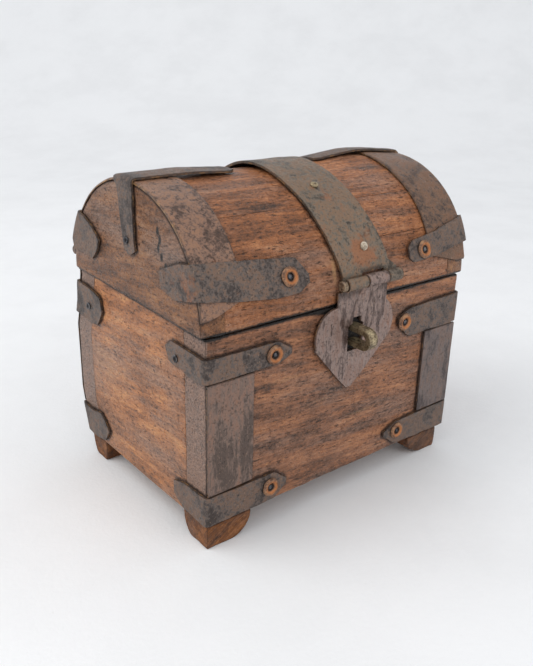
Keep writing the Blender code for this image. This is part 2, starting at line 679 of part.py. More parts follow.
# ---- nails and ring washers ---------------------------------------------------------------------
def nail(name, seat, outward, head, shank, length, through, finish, frame):
    """A round-headed nail standing on `seat`, with a drilled hole through the pieces it fastens."""
    outward = Vector(outward).normalized()
    lift = GAP
    profile = [(0, -length), (shank, 0.6 * MM - length), (shank, lift), (head, lift),
               (head * 0.95, lift + 0.45 * MM), (head * 0.6, lift + 0.85 * MM), (0, lift + 1.0 * MM)]
    add(name, *lathe(profile, seat, outward, 12), finish, frame)
    drill(through, seat, -outward, shank + GAP, length + 0.6 * MM)


def ring_nail(name, seat, outward, through, frame):
    """A dished copper ring washer with a nail through its middle."""
    outward = Vector(outward).normalized()
    hole, rim = 1.3 * MM, 3.6 * MM
    profile = [(hole, GAP), (rim, GAP), (rim - 0.2 * MM, GAP + 0.5 * MM), (rim - 0.9 * MM, GAP + 1.0 * MM),
               (rim - 1.5 * MM, GAP + 1.0 * MM), (hole, GAP + 0.5 * MM)]
    add(name + "_ring", *lathe(profile, seat, outward, 18), COPPER, frame)
    shank, length = 0.95 * MM, 9 * MM
    profile = [(0, -length), (shank, 0.6 * MM - length), (shank, GAP + 0.9 * MM), (shank * 0.7, GAP + 1.3 * MM),
               (0, GAP + 1.4 * MM)]
    add(name + "_ring_nail", *lathe(profile, seat, outward, 10), IRON, frame)
    drill(through, seat, -outward, shank + GAP, length + 0.6 * MM)


def make_nails(body, lid):
    strap_face = -BODY_Y - UNDER - SHEET
    for name, x, z in (("front_left_top", -37.5, 72.2), ("front_right_top", 31.9, 69.5),
                       ("front_left_bottom", -37.9, 17.4), ("front_right_bottom", 33.3, 18.4)):
        ring_nail(name, (x * MM, strap_face, z * MM), (0, -1, 0), ["front_panel", name + "_strap"], body)
    for name, x, z in (("lid_front_left", -31.0, 98.9), ("lid_front_right", 40.6, 98.1)):
        seat, normal = on_dome(x * MM, arch_angle(z * MM), OVER + SHEET)
        ring_nail(name, seat, normal, ["lid_front_rail", name + "_strap"], lid)
    for name, x, angle, stave in (("centre_top", -0.8, 61.0, "lid_top_stave"),
                                  ("centre_low", 7.6, 24.6, "lid_front_rail")):
        seat, normal = on_dome(x * MM, angle, centre_strap_path(angle)[1] + HASP_SHEET)
        nail(name + "_nail", seat, normal, 1.6 * MM, 0.8 * MM, 10 * MM, [stave, "centre_strap"], BRASSY, lid)
    side_face = -BODY_X - UNDER - SHEET
    nail("left_front_side_nail", (side_face, -28.9 * MM, 72.0 * MM), (-1, 0, 0), 1.5 * MM, 0.8 * MM, 9 * MM,
         ["left_end_panel", "front_left_top_strap"], IRON, body)
    nail("left_back_side_nail", (side_face, 35.6 * MM, 72.2 * MM), (-1, 0, 0), 1.5 * MM, 0.8 * MM, 9 * MM,
         ["back_panel", "back_left_top_strap"], IRON, body)
    for side, name in ((-1, "lid_left"), (1, "lid_right")):
        seat = (side * (LID_X + UNDER + SHEET), LEG_Y - 0.4 * MM, 108.8 * MM)
        nail(name + "_end_nail", seat, (side, 0, 0), 1.4 * MM, 0.8 * MM, 8 * MM,
             [name + "_end", name + "_ridge_strap"], IRON, lid)


def main():
    body = empty("box_frame", (0, 0, 0))
    body.location = (0, MID_Y, 0)
    lid = empty("lid_axis", (0, HINGE_Y, HINGE_Z), body)
    hasp = empty("hasp_axis", (0, HASP_Y, HASP_Z), lid)
    make_body(body)
    make_feet(body)
    make_body_straps(body)
    make_staves(lid)
    for side, name, band_x, ridge_x, y_low, y_high, arching in (
            (-1, "left", -50.4 * MM, -24.4 * MM, -5.6 * MM, 7.0 * MM, 0.2 * MM),
            (1, "right", 46.0 * MM, 19.0 * MM, -2.5 * MM, 9.5 * MM, 1.6 * MM)):
        make_hinge_strip(side, "back_" + name + "_hinge_strip", body)
        make_end_band(side, "lid_" + name + "_band", band_x, lid)
        make_hinge_pin(side, "lid_hinge_" + name + "_pin", body)
        make_ridge_strap(side, "lid_" + name + "_ridge_strap", ridge_x, y_low, y_high, arching, lid)
    make_lid_straps(lid)
    make_centre_strap(lid)
    make_hasp(hasp)
    make_hasp_pin(lid)
    make_staple(body)
    make_nails(body, lid)
    bpy.context.view_layer.update()
    cut_pieces()


main()
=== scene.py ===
"""Looks for the small domed-lid wooden box: worn boards, hammered iron straps, hasp, rings and nails.

Shapes are built in box coordinates, in millimetres: X right along the front, Y back from the middle of
the body's depth, Z up. make() moves them into the frame's metres.
"""
import math

import bpy
import numpy as np
from mathutils import Matrix, Vector, kdtree


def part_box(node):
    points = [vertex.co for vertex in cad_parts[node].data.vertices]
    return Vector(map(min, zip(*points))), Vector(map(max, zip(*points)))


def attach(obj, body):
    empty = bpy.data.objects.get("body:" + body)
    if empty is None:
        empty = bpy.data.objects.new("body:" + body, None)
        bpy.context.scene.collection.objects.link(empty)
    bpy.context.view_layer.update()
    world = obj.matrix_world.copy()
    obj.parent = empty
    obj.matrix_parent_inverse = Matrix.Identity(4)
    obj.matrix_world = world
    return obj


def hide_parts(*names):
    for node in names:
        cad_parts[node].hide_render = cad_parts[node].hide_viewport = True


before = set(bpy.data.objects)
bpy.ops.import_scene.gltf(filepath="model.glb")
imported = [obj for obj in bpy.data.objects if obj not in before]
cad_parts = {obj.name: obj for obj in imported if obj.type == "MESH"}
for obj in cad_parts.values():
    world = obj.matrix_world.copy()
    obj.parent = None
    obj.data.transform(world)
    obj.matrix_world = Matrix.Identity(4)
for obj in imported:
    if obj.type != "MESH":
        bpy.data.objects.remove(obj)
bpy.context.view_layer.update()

MM = 0.001
MIDDLE_Y = (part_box("front_panel")[0].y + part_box("back_panel")[1].y) / 2 / MM

# ---- the CAD model's dimensions, millimetres ------------------------------------------------------
GAP = 0.3
SHEET = 0.9
UNDER = GAP
OVER = GAP + SHEET + GAP
BODY_X, BODY_Y, FOOT_Z = 66.3, 45.6, 10.0
RIM_FRONT_Z, RIM_BACK_Z = 83.8, 86.6
FRONT_BOARD, BACK_BOARD, END_BOARD, FLOOR_BOARD = 13.0, 12.0, 10.0, 7.0
LID_X = 68.4
ARCH_Y, ARCH_Z, ARCH_BASE_Z = 45.8, 45.1, 84.0
FRONT_FULLNESS, BACK_FULLNESS = 2.1, 2.0
STAVE = 13.0
LID_CLEARANCE = 0.6
HINGE_Y, HINGE_Z, HINGE_PIN = 48.2, 93.8, 1.1
HASP_Y, HASP_Z, HASP_PIN, HASP_SHEET = -48.65, 92.3, 1.2, 1.0
ARC_MM = math.radians(1) * (ARCH_Y + ARCH_Z) / 2        # length of one degree round the dome


# ---- numbers ------------------------------------------------------------------------------------
def vector(*values):
    return np.array(values, float)


def unit(vectors):
    return vectors / np.linalg.norm(vectors, axis=-1, keepdims=True)


def rough(points, size, seed):
    """Smooth value noise from -1 to 1 at each point; size is the width of its patches."""
    spot = np.asarray(points, float) / size + 37.7 * seed
    cell = np.floor(spot).astype(np.int64)
    part = spot - cell
    part = part * part * (3 - 2 * part)
    total = np.zeros(spot.shape[:-1])
    for corner in range(8):
        step = np.array([corner >> axis & 1 for axis in range(3)])
        at = cell + step
        code = (at[..., 0] * 73856093) ^ (at[..., 1] * 19349663) ^ (at[..., 2] * 83492791)
        code = ((code ^ (code >> 13)) * 1274126177) & 0x7FFFFFFF
        code = ((code ^ (code >> 11)) * 69069) & 0xFFFF
        total += (code / 32767.5 - 1) * np.prod(np.where(step, part, 1 - part), axis=-1)
    return total


def ripple(along, size, seed):
    """The same noise along one line."""
    along = np.asarray(along, float)
    return rough(np.stack([along, 0 * along, 0 * along], -1), size, seed)


def segments(stops, spacing):
    """Finely spaced values through the stops, and which stretch each cell belongs to."""
    fine, owner = [stops[0]], []
    for part, (start, end) in enumerate(zip(stops, stops[1:])):
        count = max(1, round(abs(end - start) / spacing))
        fine += list(np.linspace(start, end, count + 1)[1:])
        owner += [part] * count
    return np.array(fine), np.array(owner)


def edged(count, edge=0.35, total=12.0):
    """Shares from 0 to 1 with extra ones close to both ends, for the rounded rim of a plate."""
    lead = np.array([0, 0.35, 1]) * edge / total
    return np.concatenate([lead, np.linspace(0, 1, count)[1:-1], 1 - lead[::-1]])


# ---- the arch and the rim -----------------------------------------------------------------------
def rim_z(y):
    return RIM_FRONT_Z + (RIM_BACK_Z - RIM_FRONT_Z) * (y + BODY_Y) / (2 * BODY_Y)


def fullness(angle):
    return np.where(np.asarray(angle) < 90, FRONT_FULLNESS, BACK_FULLNESS)


def arch(angle, inset=0.0):
    """(y, z) on the dome, angle in degrees from the front."""
    turn = np.radians(angle)
    power = 2 / fullness(angle)
    y = -np.sign(np.cos(turn)) * (ARCH_Y - inset) * np.abs(np.cos(turn)) ** power
    return y, ARCH_BASE_Z + (ARCH_Z - inset) * np.abs(np.sin(turn)) ** power


def arch_normal(angle):
    turn = np.radians(angle)
    power = 2 - 2 / fullness(angle)
    y = -np.sign(np.cos(turn)) * np.abs(np.cos(turn)) ** power / ARCH_Y
    z = np.abs(np.sin(turn)) ** power / ARCH_Z
    return unit(np.stack(np.broadcast_arrays(0 * y, y, z), -1))


def arch_angle(z, back=False):
    power = (BACK_FULLNESS if back else FRONT_FULLNESS) / 2
    angle = np.degrees(np.arcsin(((np.asarray(z, float) - ARCH_BASE_Z) / ARCH_Z) ** power))
    return 180 - angle if back else angle


def arch_angle_at(y):
    y = np.asarray(y, float)
    power = np.where(y > 0, BACK_FULLNESS, FRONT_FULLNESS) / 2
    return np.degrees(np.arccos(-np.sign(y) * (np.abs(y) / ARCH_Y) ** power))


def on_dome(x, angle, offset):
    """Points `offset` above the dome's wood, with their outward directions."""
    x, angle, offset = np.broadcast_arrays(x, angle, offset)
    y, z = arch(angle)
    normal = arch_normal(angle)
    return np.stack([x, y, z], -1) + normal * offset[..., None], normal


# ---- materials ----------------------------------------------------------------------------------
def paint(red, green, blue):
    """A linear colour from its 0 to 255 display values."""
    channels = []
    for value in (red, green, blue):
        value /= 255
        channels.append(value / 12.92 if value <= 0.04045 else ((value + 0.055) / 1.055) ** 2.4)
    return (*channels, 1)


class Finish:
    """One material and short ways to add the nodes that drive it."""

    def __init__(self, name):
        self.material = bpy.data.materials.new(name)
        self.material.use_nodes = True
        self.tree = self.material.node_tree
        self.shader = self.tree.nodes["Principled BSDF"]
        self.place = self.add("TexCoord").outputs["Object"]

    def add(self, kind, inputs=(), **settings):
        node = self.tree.nodes.new("ShaderNode" + kind)
        for key, value in settings.items():
            setattr(node, key, value)
        for key, value in dict(inputs).items():
            self.feed(node.inputs[key], value)
        return node

    def feed(self, socket, value):
        if isinstance(value, bpy.types.NodeSocket):
            self.tree.links.new(value, socket)
        else:
            socket.default_value = value

    def noise(self, scale, stretch=(1, 1, 1), turn=(0, 0, 0), shift=(0, 0, 0), detail=3, fray=0.6, bend=0.0):
        placed = self.add("Mapping", {"Vector": self.place, "Rotation": turn, "Location": shift}).outputs[0]
        drawn = self.add("Mapping", {"Vector": placed, "Scale": stretch}).outputs[0]
        return self.add("TexNoise", {"Vector": drawn, "Scale": scale, "Detail": detail, "Roughness": fray,
                                     "Distortion": bend}).outputs["Fac"]

    def attribute(self, name):
        return self.add("Attribute", attribute_name=name).outputs["Fac"]

    def between(self, value, low, high, first=0.0, last=1.0):
        """value taken from low..high to first..last, smoothly and held at the ends."""
        return self.add("MapRange", {"Value": value, "From Min": low, "From Max": high, "To Min": first,
                                     "To Max": last}, interpolation_type="SMOOTHSTEP").outputs[0]

    def math(self, operation, first, second):
        return self.add("Math", {0: first, 1: second}, operation=operation).outputs[0]

    def blend(self, weights):
        """Weighted sum of (socket, weight) pairs."""
        total = None
        for socket, weight in weights:
            part = self.math("MULTIPLY", socket, weight)
            total = part if total is None else self.math("ADD", total, part)
        return total

    def ramp(self, value, stops):
        ramp = self.add("ValToRGB", {"Fac": value}).color_ramp
        for place, colour in stops[1:-1]:
            ramp.elements.new(place)
        for element, (place, colour) in zip(ramp.elements, stops):
            element.position, element.color = place, colour
        return self.tree.nodes[-1].outputs["Color"]

    def mix(self, share, first, second):
        return self.add("Mix", {0: share, 6: first, 7: second}, data_type="RGBA").outputs[2]

    def over(self, colour, share, strength, *overlay):
        """The overlay colour, a stain, wear or painted shade, laid over a colour where share is high."""
        return self.mix(self.math("MULTIPLY", share, strength), colour, paint(*overlay))

    def bump(self, height, distance):
        node = self.add("Bump", {"Height": height, "Distance": distance * MM, "Strength": 1.0})
        self.feed(self.shader.inputs["Normal"], node.outputs[0])

    def gloss(self, fleck, middle, less=0.12):
        """Roughness that follows the flecks about a middle value."""
        return self.between(fleck, 0.35, 0.65, middle - less, middle + 0.16)

    def finish(self, colour, roughness, **constants):
        self.feed(self.shader.inputs["Base Color"], colour)
        self.feed(self.shader.inputs["Roughness"], roughness)
        for key, value in constants.items():
            self.shader.inputs[key.replace("_", " ")].default_value = value
        return self.material


GRAIN = {"x": (0.07, 1, 1), "y": (1, 0.09, 1)}


def wood(name, grain, turn, shift, tones, haze=0.45, gloss=0.36):
    """Old oiled hardwood: streaks, pores, light specks (partly dust, partly painted glints), grey haze
    (partly weathered grey, partly painted sheen), grime and painted shade beside the iron, and worn arrises.
    """
    f = Finish(name)
    along = GRAIN[grain]
    wide = tuple(min(1, 2.2 * share) for share in along)
    dash = tuple(min(1, 3.5 * share) for share in along)
    even = (1, 1, 1)

    def noise(*settings):
        scale, stretch, *rest = settings
        return f.noise(scale, stretch, turn, shift, *rest)

    streak = noise(300, along, 5, 0.66, 0.6)
    figure = noise(95, wide, 5, 0.66, 1.4)
    fibre = noise(1500, dash, 4, 0.75)
    mottle = noise(520, even, 5, 0.78)
    blotch = noise(44, even, 5, 0.68)
    tone = f.blend([(streak, 0.3), (figure, 0.26), (fibre, 0.18), (blotch, 0.16), (mottle, 0.2)])
    colour = f.ramp(tone, list(zip((0.45, 0.515, 0.57, 0.64), tones)))
    # Grey haze patches: partly weathered grey, partly painted sheen standing in for reflected white light.
    sheen_haze = f.blend([(noise(70, wide, 6, 0.75), 0.8), (mottle, 0.3)])
    sheen_haze = f.math("MULTIPLY", f.between(sheen_haze, 0.5, 0.66), haze)
    grey = f.math("MAXIMUM", sheen_haze, f.math("MULTIPLY", f.attribute("grey"), 0.8))
    colour = f.mix(grey, colour, f.ramp(fibre, list(zip((0.4, 0.6), GREYS))))
    pores = f.between(noise(1250, dash, 3, 0.7), 0.57, 0.66)
    colour = f.over(colour, pores, 0.75, 40, 24, 16)
    # Light specks: partly dust, partly painted glints of the varnish.
    dust = f.between(noise(900, even, 4, 0.7), 0.6, 0.7)
    colour = f.over(colour, dust, 0.45, 196, 144, 100)
    worn = f.blend([(f.attribute("edge"), 0.7), (f.noise(230, detail=4), 0.6)])
    colour = f.over(colour, f.between(worn, 0.62, 0.95), 0.7, 58, 38, 28)
    # Darker beside the iron and at random: grime, and painted shade where the straps meet the wood.
    grime_and_shade = f.blend([(f.attribute("near_iron"), 0.8), (f.noise(260, detail=4), 0.5)])
    colour = f.over(colour, f.between(grime_and_shade, 0.5, 1.0), 0.85, 44, 30, 24)
    ragged = f.noise(700, detail=4, fray=0.7)
    # Pale marks, then dark marks: painted shade in the parting gap, painted shadows and dark cracks.
    for key, overlay in (("pale", (190, 146, 104)), ("soot", (24, 18, 15))):
        share = f.between(f.blend([(f.attribute(key), 1.0), (ragged, 0.5)]), 0.35, 0.95)
        colour = f.mix(share, colour, paint(*overlay))
    f.bump(f.blend([(fibre, 0.5), (streak, 0.25), (mottle, 0.9), (pores, -0.25), (dust, 0.2)]), 0.62)
    return f.finish(colour, f.gloss(mottle, gloss), Specular_IOR_Level=0.36)


def iron(name, shift, cold, warm, dark, gloss=0.5, metal=0.35, stretch=(1, 1, 1)):
    """Old sheet iron: dark patina with brown patches, fine pitting and ochre rust along its edges."""
    f = Finish(name)
    patch = f.noise(95, stretch, shift=shift, detail=6, fray=0.7, bend=0.5)
    fleck = f.noise(560, stretch, shift=shift, detail=5, fray=0.78)
    tone = f.blend([(patch, 0.5), (fleck, 0.42), (f.noise(30, shift=shift), 0.2)])
    tones = [paint(*shade) for shade in (dark, cold, warm, cold)]
    colour = f.ramp(tone, list(zip((0.5, 0.545, 0.6, 0.65), tones)))
    rust = f.blend([(f.attribute("rust"), 0.5), (f.noise(150, shift=shift, detail=6, fray=0.75), 1.0)])
    colour = f.over(colour, f.between(rust, 0.6, 0.76), 0.75, 150, 96, 62)
    pits = f.between(f.noise(1200, shift=shift), 0.57, 0.66)
    colour = f.over(colour, pits, 0.55, 46, 36, 32)
    dust = f.between(f.noise(900, shift=shift, detail=4, fray=0.7), 0.6, 0.7)
    colour = f.over(colour, dust, 0.5, 172, 142, 116)
    edge = f.attribute("edge")
    ragged = f.noise(420, shift=shift, detail=4, fray=0.7)
    shadow = f.between(f.blend([(edge, 0.8), (ragged, 0.5)]), 0.5, 0.9)
    colour = f.over(colour, shadow, 0.62, 50, 38, 32)
    ochre = f.between(f.blend([(edge, 0.7), (ragged, 0.9)]), 1.12, 1.26)
    colour = f.over(colour, ochre, 0.4, 182, 134, 80)
    colour = f.mix(f.attribute("pale"), colour, paint(186, 142, 92))
    f.bump(f.blend([(fleck, 0.8), (patch, 0.6), (pits, -0.3), (dust, 0.25)]), 0.34)
    return f.finish(colour, f.gloss(fleck, gloss), Metallic=metal)


def fitting(name, shift, base, dark, light, gloss=0.45, metal=0.6):
    """Small copper and brass fittings, dull with a darker skin in their hollows."""
    f = Finish(name)
    dark = paint(*dark)
    patch = f.noise(420, shift=shift, detail=4, fray=0.65)
    fleck = f.noise(1700, shift=shift, detail=3, fray=0.65)
    tone = f.blend([(patch, 0.6), (fleck, 0.4)])
    colour = f.ramp(tone, list(zip((0.42, 0.5, 0.6), (dark, paint(*base), paint(*light)))))
    colour = f.mix(f.math("MULTIPLY", f.attribute("edge"), 0.7), colour, dark)
    colour = f.mix(f.attribute("rust"), colour, paint(184, 112, 58))
    # Painted shade round the ring's hole and in the hollows of the dished nail heads.
    colour = f.mix(f.attribute("soot"), colour, paint(22, 18, 16))
    f.bump(f.blend([(patch, 0.5), (fleck, 0.5)]), 0.16)
    roughness = f.between(fleck, 0.35, 0.65, gloss - 0.1, gloss + 0.15)
    return f.finish(colour, roughness, Metallic=metal)


def shades(*colours):
    return tuple(paint(*colour) for colour in colours)


# Greys for weathered wood, also used for the painted sheen.
GREYS = shades((104, 88, 80), (156, 130, 116))
RED = shades((58, 38, 26), (118, 74, 46), (156, 98, 60), (190, 130, 86))
DUSK = shades((54, 36, 26), (114, 76, 54), (148, 98, 68), (180, 124, 86))
BROWN = shades((60, 40, 28), (104, 68, 44), (134, 90, 58), (160, 114, 76))
ORANGE = shades((92, 60, 38), (142, 92, 58), (178, 116, 72), (206, 148, 98))
RAW = shades((46, 28, 14), (86, 50, 24), (118, 70, 34), (152, 98, 54))
INSIDE = shades((110, 76, 52), (140, 100, 68), (164, 122, 86), (190, 150, 110))
LONG_MARKS = (1, 1, 0.3)
STRAP = iron("strap_iron_patina", (0, 0, 0), (98, 88, 83), (122, 95, 78), (62, 52, 48))
BAND = iron("band_iron_patina", (0.3, 0.1, 0), (130, 100, 84), (148, 108, 82), (76, 54, 42), 0.32, 0.15)
RIGHT_BAND = iron("right_band_iron_patina", (0.1, 0.7, 0), (106, 80, 62), (122, 86, 62), (66, 46, 36), 0.38,
                  0.15)
WIDE = iron("wide_iron_patina", (0.1, 0.5, 0), (114, 104, 92), (134, 104, 80), (70, 60, 50), 0.45)
STRIP = iron("strip_iron_patina", (0.7, 0, 0.2), (116, 96, 86), (134, 102, 86), (82, 66, 58), 0.45, 0.2,
             LONG_MARKS)
RIGHT_STRIP = iron("right_strip_iron_patina", (0.2, 0, 0.5), (108, 96, 92), (120, 98, 88), (72, 60, 58), 0.45,
                   0.3, LONG_MARKS)
SHIELD = iron("shield_iron_patina", (0, 0.6, 0.1), (148, 128, 120), (134, 106, 94), (88, 70, 64), 0.36, 0.45,
              (1, 1, 0.22))
RING = fitting("ring_copper", (0, 0, 0), (130, 96, 74), (84, 60, 46), (166, 126, 92), 0.45, 0.4)
NAIL = fitting("nail_iron", (0.2, 0, 0), (76, 76, 82), (42, 40, 42), (118, 114, 112), 0.4, 0.6)
BRASS = fitting("staple_brass", (0, 0.3, 0), (142, 126, 100), (92, 78, 58), (190, 172, 136), 0.35, 0.6)
PIN = fitting("hasp_pin_brass", (0.4, 0, 0), (118, 98, 80), (68, 54, 44), (152, 132, 108), 0.4, 0.5)
PALE_NAIL = fitting("pale_nail", (0.5, 0, 0), (186, 172, 152), (130, 114, 98), (216, 206, 190), 0.45, 0.3)


# ---- pieces -------------------------------------------------------------------------------------
iron_points = {"box": [], "lid": [], "hasp": []}
BOW = ([10, 18, 22, 30, 60, 72, 80, 84], [0, 2.5, 4, 6, 6, 2, 1, 0])       # heights, how far back
RIDGE = ([14, 26, 40, 52, LID_X], [0, 1.425, 1.9, 1.33, 0])                # places along X, how far up
SMOOTH_LIMIT = math.radians(38)


def bulge(points):
    """The old back wall bows outwards: the body's points move back below the rim."""
    depth = np.clip((points[:, 1] - 8) / 25, 0, 1)
    return points + np.outer(np.interp(points[:, 2], *BOW) * depth * depth * (3 - 2 * depth), [0, 1, 0])


def hump(points):
    """The right half of the ridge stands a little proud of the left."""
    across = np.exp(-((points[:, 1] - 1) / 17) ** 2)
    high = np.clip((points[:, 2] - 104) / 18, 0, 1)
    return points + np.outer(np.interp(points[:, 0], *RIDGE) * across * high, [0, 0, 1])


def make(name, points, quads, material, body, slot, nodes, **attributes):
    """A mesh from box coordinates that rides on a body and stands for CAD nodes."""
    points = {"box": bulge, "lid": hump, "hasp": np.copy}[body](points)
    mesh = bpy.data.meshes.new(name)
    mesh.from_pydata(((points + vector(0, MIDDLE_Y, 0)) * MM).tolist(), [], quads.tolist())
    volume = 0.0
    for half in ([0, 1, 2], [0, 2, 3]):
        first, second, third = points[quads[:, half]].transpose(1, 0, 2)
        volume += (first * np.cross(second, third)).sum()
    if volume < 0:
        mesh.flip_normals()
    mesh.shade_smooth()
    mesh.set_sharp_from_angle(angle=SMOOTH_LIMIT)
    # Attributes that drive the finishes; the dark-mark one holds painted shade and shadows as well as cracks.
    for key in ("edge", "near_iron", "pale", "soot", "grey", "rust"):
        layer = mesh.attributes.new(key, "FLOAT", "POINT")
        if key in attributes:
            layer.data.foreach_set("value", np.asarray(attributes[key], np.float32))
    mesh.materials.append(material)
    piece = bpy.data.objects.new(name, mesh)
    bpy.context.scene.collection.objects.link(piece)
    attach(piece, body)
    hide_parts(*nodes)


def nearness(points, targets, reach, start=0.0):
    """1 at the targets, fading with distance over `reach`."""
    tree = kdtree.KDTree(len(targets))
    for number, target in enumerate(targets):
        tree.insert(target, number)
    tree.balance()
    distance = np.array([tree.find(point)[2] for point in points])
    return np.exp(-np.maximum(distance - start, 0) / reach)


def plate_mesh(inner, normal, thickness, missing=None, rim=0.5):
    """Bent sheet from a grid of inner points; missing marks cells that are cut out."""
    rows, columns = inner.shape[:2]
    present = np.ones((rows - 1, columns - 1), bool)
    if missing is not None:
        present &= ~missing
    padded = np.pad(present, 1)
    around = padded[:-1, :-1].astype(int) + padded[1:, :-1] + padded[:-1, 1:] + padded[1:, 1:]
    used, on_rim = around > 0, (around > 0) & (around < 4)
    depth = np.broadcast_to(thickness, (rows, columns)) * np.where(on_rim, rim, 1.0)
    outer = inner + normal * depth[..., None]
    number = np.full((rows, columns), -1)
    number[used] = np.arange(used.sum())
    total = int(used.sum())
    points = np.concatenate([inner[used], outer[used]])
    a, b, c, d = number[:-1, :-1], number[1:, :-1], number[1:, 1:], number[:-1, 1:]
    quads = [np.stack([a, b, c, d], -1)[present], np.stack([d, c, b, a], -1)[present] + total]
    sides = ((a, b, padded[1:-1, :-2]), (b, c, padded[2:, 1:-1]), (c, d, padded[1:-1, 2:]),
             (d, a, padded[:-2, 1:-1]))
    for first, second, neighbour in sides:
        wall = present & ~neighbour
        quads.append(np.stack([second[wall], first[wall], first[wall] + total, second[wall] + total], -1))
    rim_mask = np.concatenate([on_rim[used], on_rim[used]])
    return points, np.concatenate(quads), rim_mask


def plate(node, inner, normal, material, body, slot="strap_iron", kind="_iron", thickness=SHEET, missing=None,
          seed=1, wave=0.1, rim=0.5, **paints):
    """A hammered plate: plate_mesh with gentle waves and a rim attribute."""
    lift = wave * rough(inner, 9, seed) + 0.4 * wave * rough(inner, 3, seed + 1)
    inner = inner + normal * lift[..., None]
    points, quads, on_rim = plate_mesh(inner, normal, thickness, missing, rim)
    iron_points[body].append(points[::3])
    edge = nearness(points, points[on_rim], 0.55)
    values = {key: rule(points) for key, rule in paints.items()}
    make(node + kind, points, quads, material, body, slot, [node], edge=edge, **values)


def bend(corner, first, second, out_first, out_second, along, radius=1.1):
    """Points on a sheet that turns an outside corner; along is the distance past the corner."""
    share = np.clip((along + radius) / (2 * radius), 0, 1)[..., None]
    past = along[..., None]
    flat = corner + np.where(past < 0, first * -past, second * past)
    curve = corner + first * radius * (1 - share) ** 2 + second * radius * share ** 2
    normal = unit(out_first * (1 - share) + out_second * share)
    return np.where(np.abs(past) < radius, curve, flat), normal


def outline_grid(columns, seed, wobble, spacing=0.55, rows=16):
    """Fine (along, across) values inside a strap's outline given as (along, low, high) columns."""
    columns = np.array(columns, float)
    along = segments(list(columns[:, 0]), spacing)[0]
    along = np.sort(np.concatenate([along, [along[0] + 0.12, along[-1] - 0.12]]))
    low = np.interp(along, columns[:, 0], columns[:, 1])
    high = np.interp(along, columns[:, 0], columns[:, 2])
    low = low + wobble * (ripple(along, 5, seed) + 0.5 * ripple(along, 1.3, seed + 1))
    high = high + wobble * (ripple(along, 5, seed + 2) + 0.5 * ripple(along, 1.3, seed + 3))
    across = low[:, None] + (high - low)[:, None] * edged(rows)
    return np.broadcast_to(along[:, None], across.shape), across


def corner_columns(long_leg, corner, short_leg):
    """Columns from the long leg's tip (negative) past the corner to the short leg's tip."""
    columns = [(-distance, low, high) for distance, low, high in long_leg]
    columns.append((0, *corner))
    columns += [(distance, low, high) for distance, low, high in short_leg]
    return columns


def body_strap(node, side, face, legs, offset, seed):
    along, z = outline_grid(corner_columns(*legs), seed, 0.22)
    corner = np.stack([0 * z + side * (BODY_X + UNDER), 0 * z + face * (BODY_Y + offset), z], -1)
    inner, normal = bend(corner, vector(-side, 0, 0), vector(0, -face, 0), vector(0, face, 0),
                         vector(side, 0, 0), along)
    plate(node, inner, normal, STRAP, "box", seed=seed)


def lid_strap(node, side, back, legs, seed, **paints):
    along, z = outline_grid(corner_columns(*legs), seed, 0.22)
    face = 1 if back else -1
    corner, normal = on_dome(side * (LID_X + UNDER), arch_angle(z, back), OVER)
    inner, normal = bend(corner, vector(-side, 0, 0), vector(0, -face, 0), normal, vector(side, 0, 0), along)
    plate(node, inner, normal, STRAP, "lid", seed=seed, **paints)


def ridge_strap(node, side, top, leg, arching, seed):
    """A strap along the ridge whose end folds down the lid's end. Columns hold its edges along Y."""
    edge = LID_X + UNDER
    columns = [(-distance, low, high) for distance, low, high in top]
    columns += [(distance, low, high) for distance, low, high in leg]
    along, y = outline_grid(columns, seed, 0.2)
    x = side * np.minimum(edge, edge + along)
    rise = np.clip(np.interp(np.abs(x), [19, 24, 34, 46, 57, edge], [0, 0.1, 0.6, 1, 0.6, 0]), 0, 1)
    above = np.interp(np.abs(x), [26, 43], [0.5, OVER])
    over, out = on_dome(x, arch_angle_at(y), above + arching * rise)
    corner, corner_out = on_dome(side * edge, arch_angle_at(y), OVER)
    past, normal = bend(corner, vector(-side, 0, 0), vector(0, 0, -1), corner_out, vector(side, 0, 0), along)
    on_top = (along < -1.1)[..., None]
    inner, normal = np.where(on_top, over, past), np.where(on_top, out, normal)
    plate(node, inner, normal, STRAP, "lid", seed=seed)


def roll(y, z, face, radius, start, turn, count):
    """(y, z, outward y, outward z) round a knuckle, as in the CAD model."""
    angle = np.radians(np.linspace(start, start + turn, count))
    outward, up = np.cos(angle), np.sin(angle)
    return np.stack([y + face * outward * radius, z + up * radius, -face * outward, -up], -1)


def knuckle_edges(side):
    return [side * value for value in (BODY_X, 61.05, 55.65, 50.4)]


def profile_plate(node, x_rows, path, **settings):
    """A plate from X positions per row and a path of (y, z, outward y, outward z) rows."""
    y, z, out_y, out_z = np.repeat(path.T[:, :, None], x_rows.shape[1], 2)
    plate(node, np.stack([x_rows, y, z], -1), unit(np.stack([0 * y, out_y, out_z], -1)), **settings)


def hinge_strip(side, node, seed):
    outer, first, second, inner = knuckle_edges(side)
    cut = side * GAP / 2
    x, owner = segments([outer, first + cut, second - cut, inner, side * 46.3], 0.6)
    radius = HINGE_PIN + GAP + SHEET
    heights = np.concatenate([np.linspace(23.6, HINGE_Z - radius - 0.5, 110), [HINGE_Z - 0.6]])
    flat = np.stack([0 * heights + BODY_Y + UNDER, heights, 0 * heights + 1, 0 * heights], -1)
    knuckle = roll(HINGE_Y, HINGE_Z, 1, radius, 180, -270, 26)
    path = np.concatenate([flat, knuckle])
    rows = len(path) - 1
    missing = (np.arange(rows)[:, None] >= len(flat) - 2) & np.isin(owner, (1, 3))[None]
    profile_plate(node, np.repeat(x[None], len(path), 0), path, material=STRAP, body="box", missing=missing,
                  seed=seed, wave=0.06)


